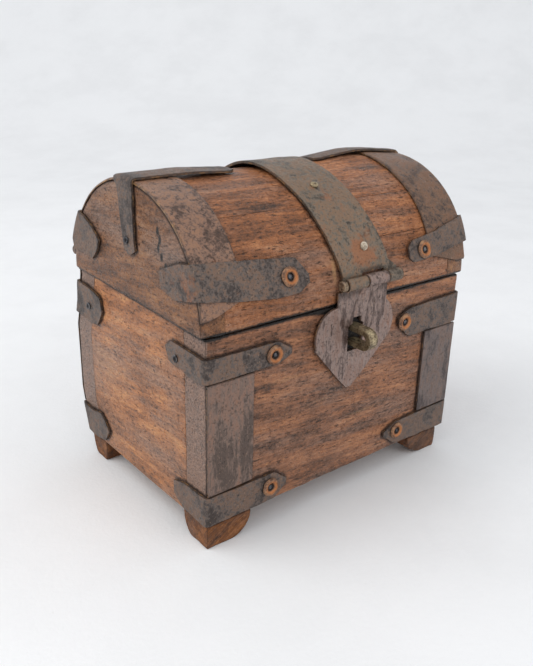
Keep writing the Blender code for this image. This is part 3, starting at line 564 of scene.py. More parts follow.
def end_band(side, node, inner_x, material, seed, **paints):
    outer, first, second, inner = knuckle_edges(side)
    cut = side * GAP / 2
    x, owner = segments([side * LID_X, first - cut, second + cut, inner_x], 0.7)
    angles = np.arange(arch_angle(90.4), arch_angle(101.5, back=True), 1.3)
    y, z = arch(angles)
    out = arch_normal(angles)
    over = np.stack([y + out[:, 1] * UNDER, z + out[:, 2] * UNDER, out[:, 1], out[:, 2]], -1)
    radius = HINGE_PIN + GAP + SHEET
    joggle = [[44.4, 97.2, 1, 0.25], [HINGE_Y - radius, HINGE_Z + 1.2, 1, 0.25]]
    path = np.concatenate([over, joggle, roll(HINGE_Y, HINGE_Z, 1, radius, 180, 270, 26)])
    taper = np.interp(np.concatenate([z, [95] * (len(path) - len(z))]), [90.4, 95.0], [0.2, 1.0])
    taper[len(z):] = 1
    edge = side * LID_X
    x_rows = edge + (x[None] - edge) * taper[:, None]
    rows = len(path) - 1
    missing = (np.arange(rows)[:, None] >= len(over)) & np.isin(owner, (0, 2))[None]
    profile_plate(node, x_rows, path, material=material, body="lid", missing=missing, seed=seed, wave=0.12,
                  **paints)


def centre_strap_path(angle):
    fall = np.maximum(0.0, (90 - angle) / 78)
    over_ridge = np.exp(-((angle - 92) / 20) ** 2)
    return 7.8 * fall ** 2.4, UNDER + 1.1 * fall ** 3 + 1.5 * over_ridge


def spread(corners, fractions, marks):
    """X positions at the fractions, through each row's corner positions at the marks."""
    return np.array([np.interp(fractions, marks, row) for row in corners])


def centre_strap(node, seed, **paints):
    radius = HASP_PIN + GAP + HASP_SHEET
    joint_left, joint_right = 4.9, 16.3
    knuckle_x = [-5.6, joint_left - GAP / 2, joint_right + GAP / 2, 23.6]
    knuckle = roll(HASP_Y, HASP_Z, -1, radius, 450, -270, 26)
    path = [knuckle, [[HASP_Y + radius, HASP_Z + radius + 0.4, -1, 0]]]
    corners = [knuckle_x] * (len(knuckle) + 1)
    angles = np.linspace(arch_angle(97.6), 168, 130)
    drift, lift = centre_strap_path(angles)
    y, z = arch(angles)
    out = arch_normal(angles)
    path.append(np.stack([y + out[:, 1] * lift, z + out[:, 2] * lift, out[:, 1], out[:, 2]], -1))
    path = np.concatenate(path)
    half = 12.9
    ragged = [0.25 * ripple(angles * ARC_MM, 6, seed + k) + 0.12 * ripple(angles * ARC_MM, 1.4, seed + k + 5)
              for k in (0, 1)]
    left, right = drift - half + ragged[0], drift + half + ragged[1]
    corners += list(np.stack([left, left + (right - left) * 0.36, left + (right - left) * 0.76, right], -1))
    fractions, owner = segments([0, 0.36, 0.76, 1], 0.02)
    fractions = np.sort(np.concatenate([fractions, [0.004, 0.012, 0.988, 0.996]]))
    owner = np.searchsorted([0.36, 0.76], (fractions[1:] + fractions[:-1]) / 2)
    rolled = len(knuckle)
    missing = (np.arange(len(path) - 1)[:, None] < rolled) & (owner == 1)[None]
    profile_plate(node, spread(corners, fractions, [0, 0.36, 0.76, 1]), path, material=WIDE, body="lid",
                  missing=missing, thickness=HASP_SHEET, seed=seed, wave=0.14, **paints)


def shield_edges(z):
    """Left and right edge of the hasp plate at height z."""
    shoulder, tip_z, tip_x = 11.2, 48.7, 0.5
    neck_left, neck_right, join_z = -7.7, 18.8, 68.7
    if z >= 83.7:
        return neck_left, neck_right
    if z >= join_z:
        left = -7.3 - math.sqrt(max(0.0, shoulder ** 2 - (z - 72.7) ** 2))
        right = 12.6 + math.sqrt(max(0.0, shoulder ** 2 - (z - 73.0) ** 2))
        return min(left, neck_left - 0.8), max(right, neck_right)
    left_join, right_join = shield_edges(join_z)
    part = (z - tip_z) / (join_z - tip_z)
    return tip_x - 0.8 + (left_join - tip_x) * part ** 0.93, tip_x + 0.8 + (right_join - tip_x) * part ** 0.93


def hasp(node, seed):
    radius = HASP_PIN + GAP + HASP_SHEET
    joint_left, joint_right = 4.9, 16.3
    slot, slot_low, slot_high = (-1.3, 6.4), 64.7, 78.1
    tip_z, top_z = 48.9, HASP_Z - radius
    inner_top, inner_tip = HASP_Y + radius, -BODY_Y - 0.8
    heights = segments([tip_z, slot_low, slot_high, 83.8], 0.45)[0]
    heights = np.sort(np.concatenate([heights, [tip_z + 0.1, slot_low - 0.12, slot_high + 0.12]]))
    path, corners = [], []
    for z in heights:
        lean = (z - tip_z) / (top_z - tip_z)
        path.append([inner_tip + (inner_top - 0.6 - inner_tip) * lean, z, -1, 0])
        left, right = shield_edges(z)
        left += 0.15 * float(ripple(z, 3, seed))
        right += 0.15 * float(ripple(z, 3, seed + 1))
        span = right - left
        narrow = min(1, max(0, (z - 75.2) / 0.6))
        corners.append([left, max(slot[0] + 2.2 * narrow, left + 0.2 * span),
                        min(slot[1] - 1.4 * narrow, right - 0.2 * span), right])
    neck = shield_edges(top_z)
    joint = [neck[0], joint_left + GAP / 2, joint_right - GAP / 2, neck[1]]
    path += [[inner_top - 0.6, top_z - 0.5, -1, 0], [inner_top - 0.1, HASP_Z - 0.9, -1, 0]]
    knuckle = roll(HASP_Y, HASP_Z, -1, radius, 180, -270, 26)
    corners += [joint] * (2 + len(knuckle))
    path = np.concatenate([path, knuckle])
    fractions = segments([0, 1, 2, 3], 0.06)[0]
    fractions = np.sort(np.concatenate([fractions, [0.02, 0.98, 2.02, 2.98]]))
    owner = ((fractions[1:] + fractions[:-1]) / 2).astype(int)
    middles = (path[1:, 1] + path[:-1, 1]) / 2
    row = np.arange(len(path) - 1)
    neck_row = len(heights)
    in_slot = (row < neck_row - 1) & (middles > slot_low) & (middles < slot_high)
    missing = (row >= neck_row)[:, None] & np.isin(owner, (0, 2))[None]
    missing |= in_slot[:, None] & (owner == 1)[None]
    profile_plate(node, spread(corners, fractions, [0, 1, 2, 3]), path, material=SHIELD, body="hasp",
                  slot="hasp_iron", missing=missing, thickness=HASP_SHEET, seed=seed, rim=0.6)


def staple(node):
    bar, width, eye, middle_x, middle_z, tip_y = 2.2, 4.6, 2.0, 2.1, 71.1, -54.0
    inside = FRONT_BOARD - BODY_Y + GAP
    swing = 0.3 + bar
    legs = []
    for sign in (1, -1):
        leg_z = middle_z + sign * eye
        leg = [(y, leg_z, 0, sign) for y in np.linspace(tip_y, inside, 30)]
        for angle in np.radians(np.linspace(0, 90, 10)):
            leg.append((inside + 0.3 + swing * math.sin(angle), leg_z + sign * swing * (1 - math.cos(angle)),
                        -math.sin(angle), sign * math.cos(angle)))
        leg.append((inside + 0.3 + swing, leg_z + sign * (swing + 5), -1, 0))
        legs.append(leg)
    round_eye = []
    for angle in np.radians(np.linspace(90, 270, 25))[1:-1]:
        round_eye.append((tip_y + eye * math.cos(angle), middle_z + eye * math.sin(angle), math.cos(angle),
                          math.sin(angle)))
    path = np.array(legs[0][::-1] + round_eye + legs[1])
    x = middle_x - width / 2 + width * edged(8, 0.5, width)
    lean = 0.035 * (path[:, :1] + BODY_Y)
    profile_plate(node, x[None] + lean, path, material=BRASS, body="box", slot="brass_fittings", kind="_bar",
                  thickness=bar, rim=0.72, wave=0.07, seed=41)


ROUND = 32


def lathe_mesh(profile, base, axis, dent, seed):
    """A closed (radius, height) profile turned about an axis, slightly dented."""
    axis = unit(vector(*axis))
    side = unit(np.cross(axis, vector(0.3, 0.2, 0.9)))
    other = np.cross(axis, side)
    profile = np.array(profile, float)
    turn = np.linspace(0, 2 * math.pi, ROUND, endpoint=False)
    ring = side * np.cos(turn)[:, None] + other * np.sin(turn)[:, None]
    points = np.array(base) + axis * profile[:, 1][:, None, None] + ring[None] * profile[:, 0][:, None, None]
    points = points.reshape(-1, 3)
    points = points + dent * np.stack([rough(points, 1.6, seed + k) for k in range(3)], -1)
    rows = np.arange(len(profile))[:, None] * ROUND
    k = np.arange(ROUND)
    following = (k + 1) % ROUND
    after = np.roll(rows, -1, axis=0)
    quads = np.stack(np.broadcast_arrays(rows + k, rows + following, after + following, after + k), -1)
    return points, quads.reshape(-1, 4), profile


def turned(node, kind, profile, base, axis, material, body, slot, dent, seed, paints=None):
    points, quads, profile = lathe_mesh(profile, base, axis, dent, seed)
    iron_points[body].append(points[::2])
    values = {key: np.repeat(rule(profile), ROUND) for key, rule in (paints or {}).items()}
    make(node + kind, points, quads, material, body, slot, [node], **values)


def smooth_profile(profile, steps=4):
    """Adds points between those of a profile along gentle curves."""
    profile = np.array(profile, float)
    place = np.arange(len(profile))
    fine = np.linspace(0, len(profile) - 1, (len(profile) - 1) * steps + 1)
    return np.stack([np.interp(fine, place, profile[:, k]) for k in (0, 1)], -1)


TINY = 0.02


def nail(node, seat, outward, head, length, material, body, slot, seed, dished=False):
    """A nail with a domed head, or with a low dark head hollowed in the middle and painted shade in the
    hollow.
    """
    lift, shank = GAP * 0.4, 0.8
    profile = [(TINY, -length), (shank, 0.6 - length), (shank, lift), (head * 0.96, lift), (head, lift + 0.2)]
    if dished:
        crown = (0.94, 0.36), (0.78, 0.42), (0.6, 0.3), (0.35, 0.1), (TINY / head, 0.05)
        # Painted shade in the head's hollow, darkest at the middle.
        paints = {"soot": lambda p: np.clip((head * 0.8 - p[:, 0]) / head * 2, 0, 0.9)}
    else:
        crown = (0.97, 0.45), (0.82, 0.75), (0.5, 0.98), (0.2, 1.06), (TINY / head, 1.08)
        paints = None
    profile += [(head * share, lift + height) for share, height in crown]
    turned(node, "_head", profile, seat, outward, material, body, slot, 0.16, seed, paints)


def ring_and_nail(name, seat, outward, body, seed):
    hole, rim = 1.3, 3.7
    dish = (0.15, 0), (0, 0.25), (0.15, 0.6), (0.5, 0.95), (0.95, 1.08), (1.4, 0.95), (1.8, 0.6)
    profile = [(hole, GAP)] + [(rim - inward, GAP + height) for inward, height in dish]
    profile += [(hole + 0.1, GAP + 0.35), (hole, GAP + 0.2)]
    # Painted shade round the hole in the middle of the dish; the rust band outside it is the copper's own
    # colour.
    paints = {"soot": lambda p: np.clip((hole + 0.5 - p[:, 0]) / 0.4, 0, 1) * 0.9,
              "rust": lambda p: np.exp(-((p[:, 0] - hole - 0.95) / 0.45) ** 2) * (p[:, 1] > GAP + 0.3) * 0.85}
    turned(name + "_ring", "_dish", profile, seat, outward, RING, body, "copper_rings", 0.14, seed, paints)
    shank, length = 0.95, 9
    profile = [(TINY, -length), (shank, 0.6 - length), (shank, GAP + 0.25), (shank * 0.8, GAP + 0.5),
               (shank * 0.4, GAP + 0.6), (TINY, GAP + 0.62)]
    turned(name + "_ring_nail", "_head", profile, seat, outward, NAIL, body, "strap_iron", 0.12, seed + 1)


# ---- wooden pieces ------------------------------------------------------------------------------
def grid_lines(low, high, cell, edge):
    """Grid lines from low to high, closer together near both ends, where the edges are rounded."""
    edge = min(edge, (high - low) * 0.3)
    lead = edge * np.array([0, 0.12, 0.3, 0.6])
    count = max(1, round((high - low - 2 * edge) / cell))
    middle = np.linspace(low + edge, high - edge, count + 1)
    return np.concatenate([low + lead, middle, (high - lead)[::-1]])


def block_surface(xs, ys, zs):
    """Points and outward quads on the surface of a grid of cells."""
    i, j, k = np.indices((len(xs), len(ys), len(zs)))
    shell = (i == 0) | (i == len(xs) - 1) | (j == 0) | (j == len(ys) - 1) | (k == 0) | (k == len(zs) - 1)
    number = np.full(shell.shape, -1)
    number[shell] = np.arange(shell.sum())
    points = np.stack([xs[i[shell]], ys[j[shell]], zs[k[shell]]], -1)
    quads = []
    for axis in range(3):
        for end in (0, -1):
            layer = np.take(number, end, axis=axis)
            cells = np.stack([layer[:-1, :-1], layer[1:, :-1], layer[1:, 1:], layer[:-1, 1:]], -1)
            cells = cells.reshape(-1, 4)
            quads.append(cells if (end == -1) == (axis != 1) else cells[:, ::-1])
    return points, np.concatenate(quads)


def timber(node, low, high, place, material, body, slot, cell=1.1, radius=0.8, warp=0.12, seed=1, **paints):
    """A worn block of wood. `place` maps its own coordinates to box coordinates, and radius is a number or
    a rule for the grid's points."""
    low, high = vector(*low), vector(*high)
    lines = [grid_lines(low[k], high[k], cell, 1.4) for k in range(3)]
    grid, quads = block_surface(*lines)
    rounding = radius(grid) if callable(radius) else radius
    ragged = rounding * (1 + 0.55 * rough(grid, 5, seed))
    ragged = np.minimum(ragged, (high - low).min() * 0.3)[:, None]
    core = np.clip(grid, low + ragged, high - ragged)
    away = grid - core
    length = np.maximum(np.linalg.norm(away, axis=1, keepdims=True), 1e-9)
    points = core + away / length * ragged
    outward = away / length
    dent = warp * rough(grid, 15, seed + 1) + 0.35 * warp * rough(grid, 2.5, seed + 2)
    points = points + outward * dent[:, None]
    inside = np.sort(np.minimum(grid - low, high - grid), axis=1)
    edge = np.exp(-inside[:, 1] / 0.8) * np.clip(ragged[:, 0] / 0.5, 0.1, 1)
    placed = place(points)
    values = {key: rule(placed) for key, rule in paints.items()}
    # Wood beside the iron is darkened: grime and painted shade where the straps meet it.
    values["near_iron"] = nearness(placed, np.concatenate(iron_points[body]), 0.9, 0.5)
    make(node + "_wood", placed, quads, material, body, slot, [node], edge=edge, **values)


def as_body(points):
    """Raises a body board's top to the sloping rim."""
    share = (points[:, 2] - FOOT_Z) / (RIM_FRONT_Z - FOOT_Z)
    z = FOOT_Z + share * (rim_z(points[:, 1]) - FOOT_Z)
    return np.stack([points[:, 0], points[:, 1], z], -1)


def as_stave(points):
    """Bends a block whose Y runs round the dome and whose Z is minus its inset."""
    y, z = arch(points[:, 1] / ARC_MM, -points[:, 2])
    return np.stack([points[:, 0], y, z], -1)


def lid_end_place(points):
    """A half-disc board: Y runs round its arch and Z is its share of the height, times 30."""
    y, z = arch(points[:, 1] / ARC_MM, np.clip(30 - points[:, 2], 0, 3))
    foot = rim_z(y) + LID_CLEARANCE
    share = np.clip(points[:, 2] / 27, 0, 1)
    return np.stack([points[:, 0], y, foot + np.maximum(z - foot, 0) * share], -1)


def lid_edge_angle(inset, back):
    angles = np.linspace(120, 179.9, 600) if back else np.linspace(0.1, 60, 600)
    y, z = arch(angles, inset)
    above = z > rim_z(y) + LID_CLEARANCE
    return angles[above][-1] if back else angles[above][0]


def foot(node, corner, inward, top, tip, outer_inset, material, seed):
    """A bracket foot, full at the top and rounding in to a smaller flat tip."""
    height = FOOT_Z - GAP

    def place(points):
        level = np.clip(points[:, 2] / height, 0, 1)
        swell = np.sqrt(np.maximum(0, 1 - (1 - level) ** 2))
        sides = []
        for axis in (0, 1):
            share = points[:, axis] / top[axis]
            low = outer_inset[axis] * (1 - swell)
            high = tip[axis] + outer_inset[axis] + (top[axis] - tip[axis] - outer_inset[axis]) * swell
            sides.append(corner[axis] + inward[axis] * (low + (high - low) * share))
        return np.stack([sides[0], sides[1], points[:, 2]], -1)

    timber(node, (0, 0, 0), (*top, height), place, material, "box", "raw_wood", 0.8, 0.8, 0.1, seed)


def blobs(*spots):
    """A rule that sums soft spots: each is (x, y, z, reach x, reach y, reach z, strength)."""
    def rule(points):
        total = np.zeros(len(points))
        for x, y, z, reach_x, reach_y, reach_z, strength in spots:
            away = (points - vector(x, y, z)) / vector(reach_x, reach_y, reach_z)
            total += strength * np.exp(-(away ** 2).sum(1))
        return total
    return rule


# ---- build --------------------------------------------------------------------------------------
HANDS = ((-1, "left"), (1, "right"))


def build_body_straps():
    """Each leg is a list of (distance from the corner, low Z, high Z)."""
    bottom_corner = (10.9, 23.2)
    bottom_long = {-1: [(37, 16.2, 18.2), (31, 11.4, 22.8)], 1: [(41, 17.2, 19.6), (33, 11.6, 22.8)]}
    bottom_short = {-1: [(14, 11.4, 22.9), (20.5, 15.2, 20.6)],
                    1: [(5.2, 10.6, 22.6), (9, 10.8, 22.6), (16.6, 12.4, 24.2), (19.1, 15, 21.6),
                        (21.1, 17.4, 18.4)]}
    front_top = {-1: ([(37.5, 70.8, 72.6), (31, 67.8, 76.8)], (67.9, 77.0),
                      [(3.8, 67.8, 77.1), (10.3, 67.7, 77.4), (12.6, 69.3, 77.5), (18.3, 68.8, 77.7),
                       (20, 68.9, 77.8), (21.8, 69.6, 76.2), (24, 74, 75)]),
                 1: ([(37.8, 69.6, 71.6), (33, 63.6, 74.2), (30, 62.2, 74.8)], (62.4, 75.8),
                     [(12, 63.2, 76.0), (22, 67.2, 74.2)])}
    back_top = ([(36, 71, 73), (30, 67, 79)], (66.4, 81.0),
                [(7.9, 65.8, 80.4), (12.6, 65.4, 79.9), (15.2, 65.4, 79.6), (19.5, 65.6, 78.4),
                 (20.3, 67.5, 77.9), (21.9, 72.2, 73)])
    seed = 10
    for side, hand in HANDS:
        body_strap(f"front_{hand}_top_strap", side, -1, front_top[side], UNDER, seed)
        body_strap(f"back_{hand}_top_strap", side, 1, back_top, OVER, seed + 3)
        for face, face_name in ((-1, "front"), (1, "back")):
            legs = (bottom_long[side], bottom_corner, bottom_short[face])
            body_strap(f"{face_name}_{hand}_bottom_strap", side, face, legs, UNDER, seed + 5 + face)
        seed += 20
    strip_z, strip_x = 23.6, 46.4
    for node, x0, x1, top, finish in (("front_left_strip", -BODY_X, -strip_x, 67.4, STRIP),
                                      ("front_right_strip", strip_x, BODY_X, 61.8, RIGHT_STRIP)):
        along, z = outline_grid([(x0, strip_z, top), (x1, strip_z, top)], seed, 0.18, 0.7, 60)
        inner = np.stack([along, 0 * z - BODY_Y - UNDER, z], -1)
        plate(node, inner, inner * 0 + vector(0, -1, 0), finish, "box", seed=seed)
        seed += 5


def band_rim(points):
    """Tan wear, broken into spots, along the left band's outer edge."""
    return (points[:, 0] < -LID_X + 0.5) * np.clip(rough(points, 1.3, 5), 0, 1) * 0.7


def build_lid_iron():
    front = {-1: ([(46.9, 96.0, 98.4), (42, 93.2, 104.4), (32.5, 92.7, 105.5), (16, 94.4, 107.0)],
                  (97.0, 108.3), [(6, 95.8, 107.4), (14, 94.4, 104.8), (22, 96.4, 102.0)]),
             1: ([(36.7, 95.8, 99.6), (34, 93.9, 102.0), (20, 94.8, 103.8)], (98.0, 107.6),
                 [(8, 96.2, 106.4), (18, 96.6, 102.2)])}
    back = ([(36, 103.0, 105.0), (30, 100.0, 109.6)], (100.0, 111.0),
            [(3, 95.6, 110.6), (6.8, 95.6, 109.6), (12.4, 95.3, 107.8), (18.6, 94.9, 104.8),
             (20.4, 97, 103.9), (21.6, 99.4, 103.2)])
    side_rust = {"rust": lambda points: (points[:, 0] < -LID_X - 0.4) * 0.2}
    head, start = HINGE_PIN + 0.7, BODY_X + 1.3
    length = start - 49.6
    pin = smooth_profile([(TINY, 0), (head * 0.7, 0), (head, 0.4), (head, 0.9), (HINGE_PIN, 1.0),
                          (HINGE_PIN, length), (TINY, length)])
    for (side, hand), band_x, finish, seed in zip(HANDS, (-50.4, 46.0), (BAND, RIGHT_BAND), (60, 80)):
        end_band(side, f"lid_{hand}_band", band_x, finish, seed, pale=band_rim)
        hinge_strip(side, f"back_{hand}_hinge_strip", seed + 1)
        lid_strap(f"lid_front_{hand}_strap", side, False, front[side], seed + 2, **side_rust)
        lid_strap(f"lid_back_{hand}_strap", side, True, back, seed + 3)
        turned(f"lid_hinge_{hand}_pin", "_rod", pin, (side * start, HINGE_Y, HINGE_Z), (-side, 0, 0), STRAP,
               "box", "strap_iron", 0.06, seed)
    leg = [(3.5, -6.0, 4.3), (22.0, -6.2, 1.6), (24.7, -6.5, 1.1), (27.0, -3.2, -2.0)]
    left_top = [(44.3, -4.0, 5.4), (41.3, -5.6, 7.0), (0, -5.6, 7.0)]
    right_top = [(49.7, -1.0, 8.0), (46.7, -2.5, 9.5), (0, -2.5, 9.5)]
    ridge_strap("lid_left_ridge_strap", -1, left_top, leg, 0.2, 70)
    ridge_strap("lid_right_ridge_strap", 1, right_top, leg, 0.3, 90)
    centre_strap("centre_strap", 75, rust=blobs((7, -42, 101, 7, 8, 7, 0.7), (2, -30, 118, 5, 6, 6, 0.35)))


def build_fittings():
    hasp("hasp_plate", 33)
    start, end, head = -7.7, 24.2, HASP_PIN + 0.9
    pin = smooth_profile([(TINY, 0), (head * 0.75, 0), (head, 0.5), (head, 1.6), (HASP_PIN, 1.8),
                          (HASP_PIN, end - start), (TINY, end - start)])
    turned("hasp_hinge_pin", "_rod", pin, (start, HASP_Y, HASP_Z), (1, 0, 0), PIN, "lid", "brass_fittings",
           0.1, 3)
    staple("staple")
    strap_face = -BODY_Y - UNDER - SHEET
    seed = 100
    for name, x, z in (("front_left_top", -37.5, 72.2), ("front_right_top", 31.9, 69.5),
                       ("front_left_bottom", -37.9, 17.4), ("front_right_bottom", 33.3, 18.4)):
        ring_and_nail(name, (x, strap_face, z), (0, -1, 0), "box", seed)
        seed += 7
    for name, x, z in (("lid_front_left", -31.0, 98.9), ("lid_front_right", 40.6, 98.1)):
        seat, normal = on_dome(x, float(arch_angle(z)), OVER + SHEET)
        ring_and_nail(name, seat, normal, "lid", seed)
        seed += 7
    for node, x, angle, finish in (("centre_top_nail", -0.8, 61.0, BRASS),
                                   ("centre_low_nail", 7.6, 24.6, PALE_NAIL)):
        seat, normal = on_dome(x, angle, centre_strap_path(angle)[1] + HASP_SHEET)
        nail(node, seat, normal, 1.75, 10, finish, "lid", "brass_fittings", seed)
        seed += 7
    side_face = -BODY_X - UNDER - SHEET
    for node, y, z in (("left_front_side_nail", -28.9, 72.0), ("left_back_side_nail", 35.6, 72.2)):
        nail(node, (side_face, y, z), (-1, 0, 0), 1.5, 9, NAIL, "box", "strap_iron", seed, True)
        seed += 1
    for side, hand in HANDS:
        seat = (side * (LID_X + UNDER + SHEET), -1.3, 108.8)
        nail(f"lid_{hand}_end_nail", seat, (side, 0, 0), 1.4, 8, NAIL, "lid", "strap_iron", seed, True)


def rim_soot(points):
    """Painted shade: the dark line where the lid meets the body, on the outer faces only."""
    away = np.abs(points[:, 2] - rim_z(points[:, 1]) - GAP)
    outer = (np.abs(points[:, 1]) > BODY_Y - 1.2) | (np.abs(points[:, 0]) > BODY_X - 1.0)
    return np.exp(-np.maximum(away - 0.7, 0) / 0.6) * outer * (0.75 + 0.25 * rough(points, 6, 3))


def both(first, second):
    return lambda points: first(points) + second(points)


def end_grain(points):
    """1 on the two X ends of a body board."""
    return (np.abs(points[:, 0]) > BODY_X - 0.7) * 1.0


BOARDS = {"front": DUSK, "back": DUSK, "rail": RED, "stave": RED, "top": RED, "behind": RED, "low": RED}
TIGHT = 0.15            # rounding of an arris that meets another board


def build_wood():
    slant = math.radians(4)
    boards = {name: wood(name + "_board_wood", "x", (0, -slant, 0), (0.31 * k, 0.17 * k, 0.07), tones)
              for k, (name, tones) in enumerate(BOARDS.items())}
    ends = [wood(f"end_board_{k}_wood", "y", (slant, 0, 0), (0.2 * k, 0.6, 0.1 * k), tones, 0.6)
            for k, tones in enumerate((ORANGE, ORANGE, BROWN, BROWN))]
    build_body_wood(boards, ends)
    build_lid_wood(boards, ends)


def build_body_wood(boards, ends):
    front_y, back_y = FRONT_BOARD - BODY_Y, BODY_Y - BACK_BOARD
    y0, y1 = front_y + GAP / 3, back_y - GAP / 3
    raw = wood("foot_raw_wood", "x", (0, math.radians(30), 0), (0.9, 0, 0), RAW, 0.3, 0.6)
    inside = wood("floor_raw_wood", "x", (0, 0, 0), (0.4, 0.4, 0), INSIDE, 0.3, 0.65)
    # Painted shadow of the hasp round the staple, along its left edge and under the rim beside it, and
    # painted shade under the right top strap.
    painted_shadows = blobs((2.6, -BODY_Y, 71.4, 4.2, 6, 7.5, 1.6), (-10, -BODY_Y, 83, 7, 5, 2.2, 0.9),
                   (-21, -BODY_Y, 72, 3.5, 5, 7, 0.35), (30, -BODY_Y, 62, 7, 5, 2.5, 0.3))
    tans = blobs((-30, -BODY_Y, 60, 9, 4, 0.7, 0.5), (12, -BODY_Y, 34, 14, 4, 0.6, 0.45),
                 (-12, -BODY_Y, 46, 8, 4, 0.6, 0.4))
    # The dark marks on the body boards are painted shade along the parting gap, and on the front also painted
    # shadows round the hasp and under the right top strap.
    timber("front_panel", (-BODY_X, -BODY_Y, FOOT_Z), (BODY_X, front_y, RIM_FRONT_Z), as_body,
           boards["front"], "box", "stained_wood", radius=lambda p: np.where(p[:, 1] < -38, 0.9, TIGHT),
           seed=1, soot=both(rim_soot, painted_shadows), pale=tans, grey=end_grain)
    timber("back_panel", (-BODY_X, back_y, FOOT_Z), (BODY_X, BODY_Y, RIM_FRONT_Z), as_body, boards["back"],
           "box", "stained_wood", 1.4, lambda p: np.where(p[:, 1] > 40, 0.9, TIGHT), seed=2, soot=rim_soot,
           grey=end_grain)
    greys = blobs((-BODY_X, -10, 26, 9, 24, 6, 0.8), (-BODY_X, 24, 50, 9, 12, 8, 0.4),
                  (-BODY_X, -24, 50, 9, 5, 20, 0.5), (-BODY_X, 26, 20, 9, 8, 10, 0.6))
    for (side, hand), finish in zip(HANDS, ends[:2]):
        low, high = sorted((side * BODY_X, side * (BODY_X - END_BOARD)))
        timber(f"{hand}_end_panel", (low, y0, FOOT_Z), (high, y1, RIM_FRONT_Z), as_body, finish, "box",
               "end_wood", radius=lambda p: np.where(p[:, 2] > 80, 0.5, TIGHT), seed=3 + side, soot=rim_soot,
               grey=greys)
    reach = BODY_X - END_BOARD - GAP
    timber("floor_board", (-reach, y0, FOOT_Z), (reach, y1, FOOT_Z + FLOOR_BOARD), np.copy, inside, "box",
           "raw_wood", seed=5, cell=2.0)
    edge_x, edge_y = BODY_X - 0.3, BODY_Y - 0.3
    foot("front_left_foot", (-edge_x, -edge_y), (1, 1), (20.5, 16), (10, 9.5), (0, 0), raw, 6)
    foot("front_right_foot", (64.0, -edge_y), (-1, 1), (20, 13), (7, 5), (1.5, 0), raw, 7)
    foot("back_left_foot", (-edge_x, edge_y), (1, -1), (16, 13), (5, 7), (0, 4.5), raw, 8)
    foot("back_right_foot", (64.0, edge_y), (-1, -1), (17, 13), (6, 6), (1.5, 3), raw, 9)


def build_lid_wood(boards, ends):
    names = ("lid_front_rail", "lid_front_stave", "lid_top_stave", "lid_back_stave", "lid_back_rail")
    springing = [lid_edge_angle(0.0, back) for back in (False, True)]
    seams = [springing[0], 28, 51, 105, 153, springing[1]]
    between, close = LID_X - END_BOARD - GAP / 3, GAP / 6
    beside_strap = blobs((-7.6, -44, 98, 0.9, 6, 6, 0.7))
    # The dark marks on the lid boards are painted shade along the parting gap; the lid ends also get a dark
    # crack.
    for number, (node, kind) in enumerate(zip(names, list(BOARDS)[2:])):
        first, last = seams[number] * ARC_MM + close, seams[number + 1] * ARC_MM - close
        timber(node, (-between, first, -STAVE), (between, last, 0), as_stave, boards[kind], "lid",
               "stained_wood", radius=0.12, warp=0.1, seed=20 + number, soot=rim_soot, pale=beside_strap)
    first, last = (angle * ARC_MM for angle in springing)
    path = (-20.8, 116), (-22.2, 113), (-21, 110), (-23, 107.2), (-25.6, 104.4)
    crack = blobs(*[(-LID_X, y, z, 3, 0.7, 1.5, 1.3) for y, z in path])
    for (side, hand), finish in zip(HANDS, ends[2:]):
        low, high = sorted((side * LID_X, side * (LID_X - END_BOARD)))
        timber(f"lid_{hand}_end", (low, first, 0), (high, last, 30), lid_end_place, finish, "lid", "end_wood",
               1.0, lambda p: np.where(np.abs(p[:, 0]) > 63, 0.8, 0.12), seed=30 + side,
               soot=both(rim_soot, crack))


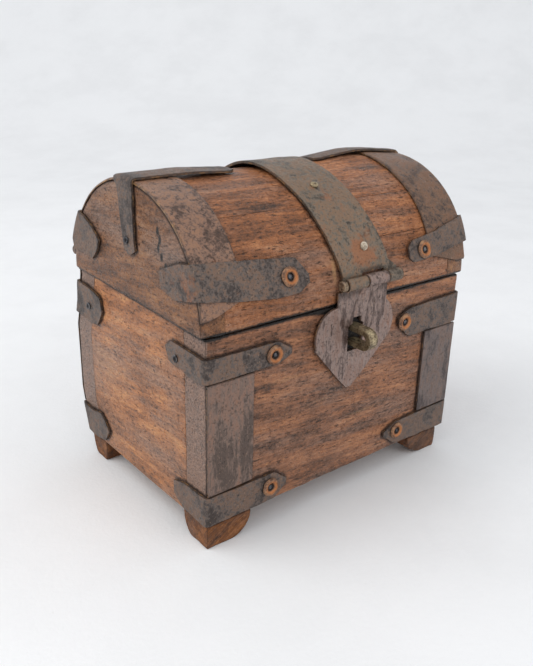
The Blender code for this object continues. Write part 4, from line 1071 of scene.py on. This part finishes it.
# ---- stage --------------------------------------------------------------------------------------
def build_stage():
    """A pale sweep; the soft key light from the upper left, the weak fill and the even sky are built in
    build_lights.
    """
    f = Finish("stage_paper")
    speck = f.between(f.noise(260, detail=4, fray=0.7), 0.66, 0.78)
    smear = f.between(f.noise(9, detail=5, fray=0.65), 0.35, 0.7)
    colour = f.mix(smear, paint(240, 241, 243), paint(234, 235, 237))
    colour = f.mix(f.math("MULTIPLY", speck, 0.16), colour, paint(168, 158, 150))
    f.bump(f.noise(500, detail=3), 0.15)
    material = f.finish(colour, f.between(smear, 0, 1, 0.55, 0.7))
    profile = [(-1.6, 0.0), (0.7, 0.0)]
    for k in range(1, 25):
        turn = math.radians(90 * k / 24)
        profile.append((0.7 + 0.8 * math.sin(turn), 0.8 * (1 - math.cos(turn))))
    profile.append((1.5, 2.2))
    heading = Vector((0.5909, 0.7186, 0)).normalized()
    across = Vector((heading.y, -heading.x, 0))
    points, faces = [], []
    for y, z in profile:
        for x in (-3, 3):
            points.append(across * x + heading * y + Vector((0, 0, z)))
    for k in range(len(profile) - 1):
        faces.append((2 * k, 2 * k + 1, 2 * k + 3, 2 * k + 2))
    mesh = bpy.data.meshes.new("stage_sweep")
    mesh.from_pydata(points, [], faces)
    mesh.shade_smooth()
    mesh.materials.append(material)
    sweep = bpy.data.objects.new("stage_sweep", mesh)
    bpy.context.scene.collection.objects.link(sweep)


def area_light(name, place, target, size, watts, colour):
    lamp = bpy.data.lights.new(name, "AREA")
    lamp.shape = "DISK"
    lamp.size, lamp.energy, lamp.color = size, watts, colour
    light = bpy.data.objects.new(name, lamp)
    bpy.context.scene.collection.objects.link(light)
    light.location = place
    light.rotation_euler = (Vector(target) - Vector(place)).to_track_quat("-Z", "Y").to_euler()


def build_lights():
    world = bpy.data.worlds.new("studio_sky")
    world.use_nodes = True
    background = world.node_tree.nodes["Background"]
    background.inputs["Color"].default_value = (0.97, 0.985, 1.0, 1)
    background.inputs["Strength"].default_value = 0.82
    bpy.context.scene.world = world
    area_light("key_light", (-0.75, 0.25, 0.95), (0, 0, 0.05), 1.1, 6.0, (1.0, 0.98, 0.95))
    area_light("fill_light", (0.2, -1.1, 0.7), (0, 0, 0.06), 0.9, 2.5, (1.0, 0.99, 0.98))


def build_camera():
    data = bpy.data.cameras.new("view_camera")
    data.sensor_width, data.lens, data.clip_start = 36, 39.81, 0.01
    camera = bpy.data.objects.new("view_camera", data)
    bpy.context.scene.collection.objects.link(camera)
    aim = Vector((0.5909, 0.7186, -0.3667)).to_track_quat("-Z", "Y").to_matrix().to_4x4()
    stand = Matrix.Translation((-0.1929, -0.2310 + MIDDLE_Y * MM, 0.1753))
    camera.matrix_world = stand @ aim @ Matrix.Rotation(math.radians(1.41), 4, "Z")
    bpy.context.scene.camera = camera


build_body_straps()
build_lid_iron()
build_fittings()
build_wood()
build_stage()
build_lights()
build_camera()
bpy.context.scene.view_settings.view_transform = "Standard"
bpy.context.view_layer.update()
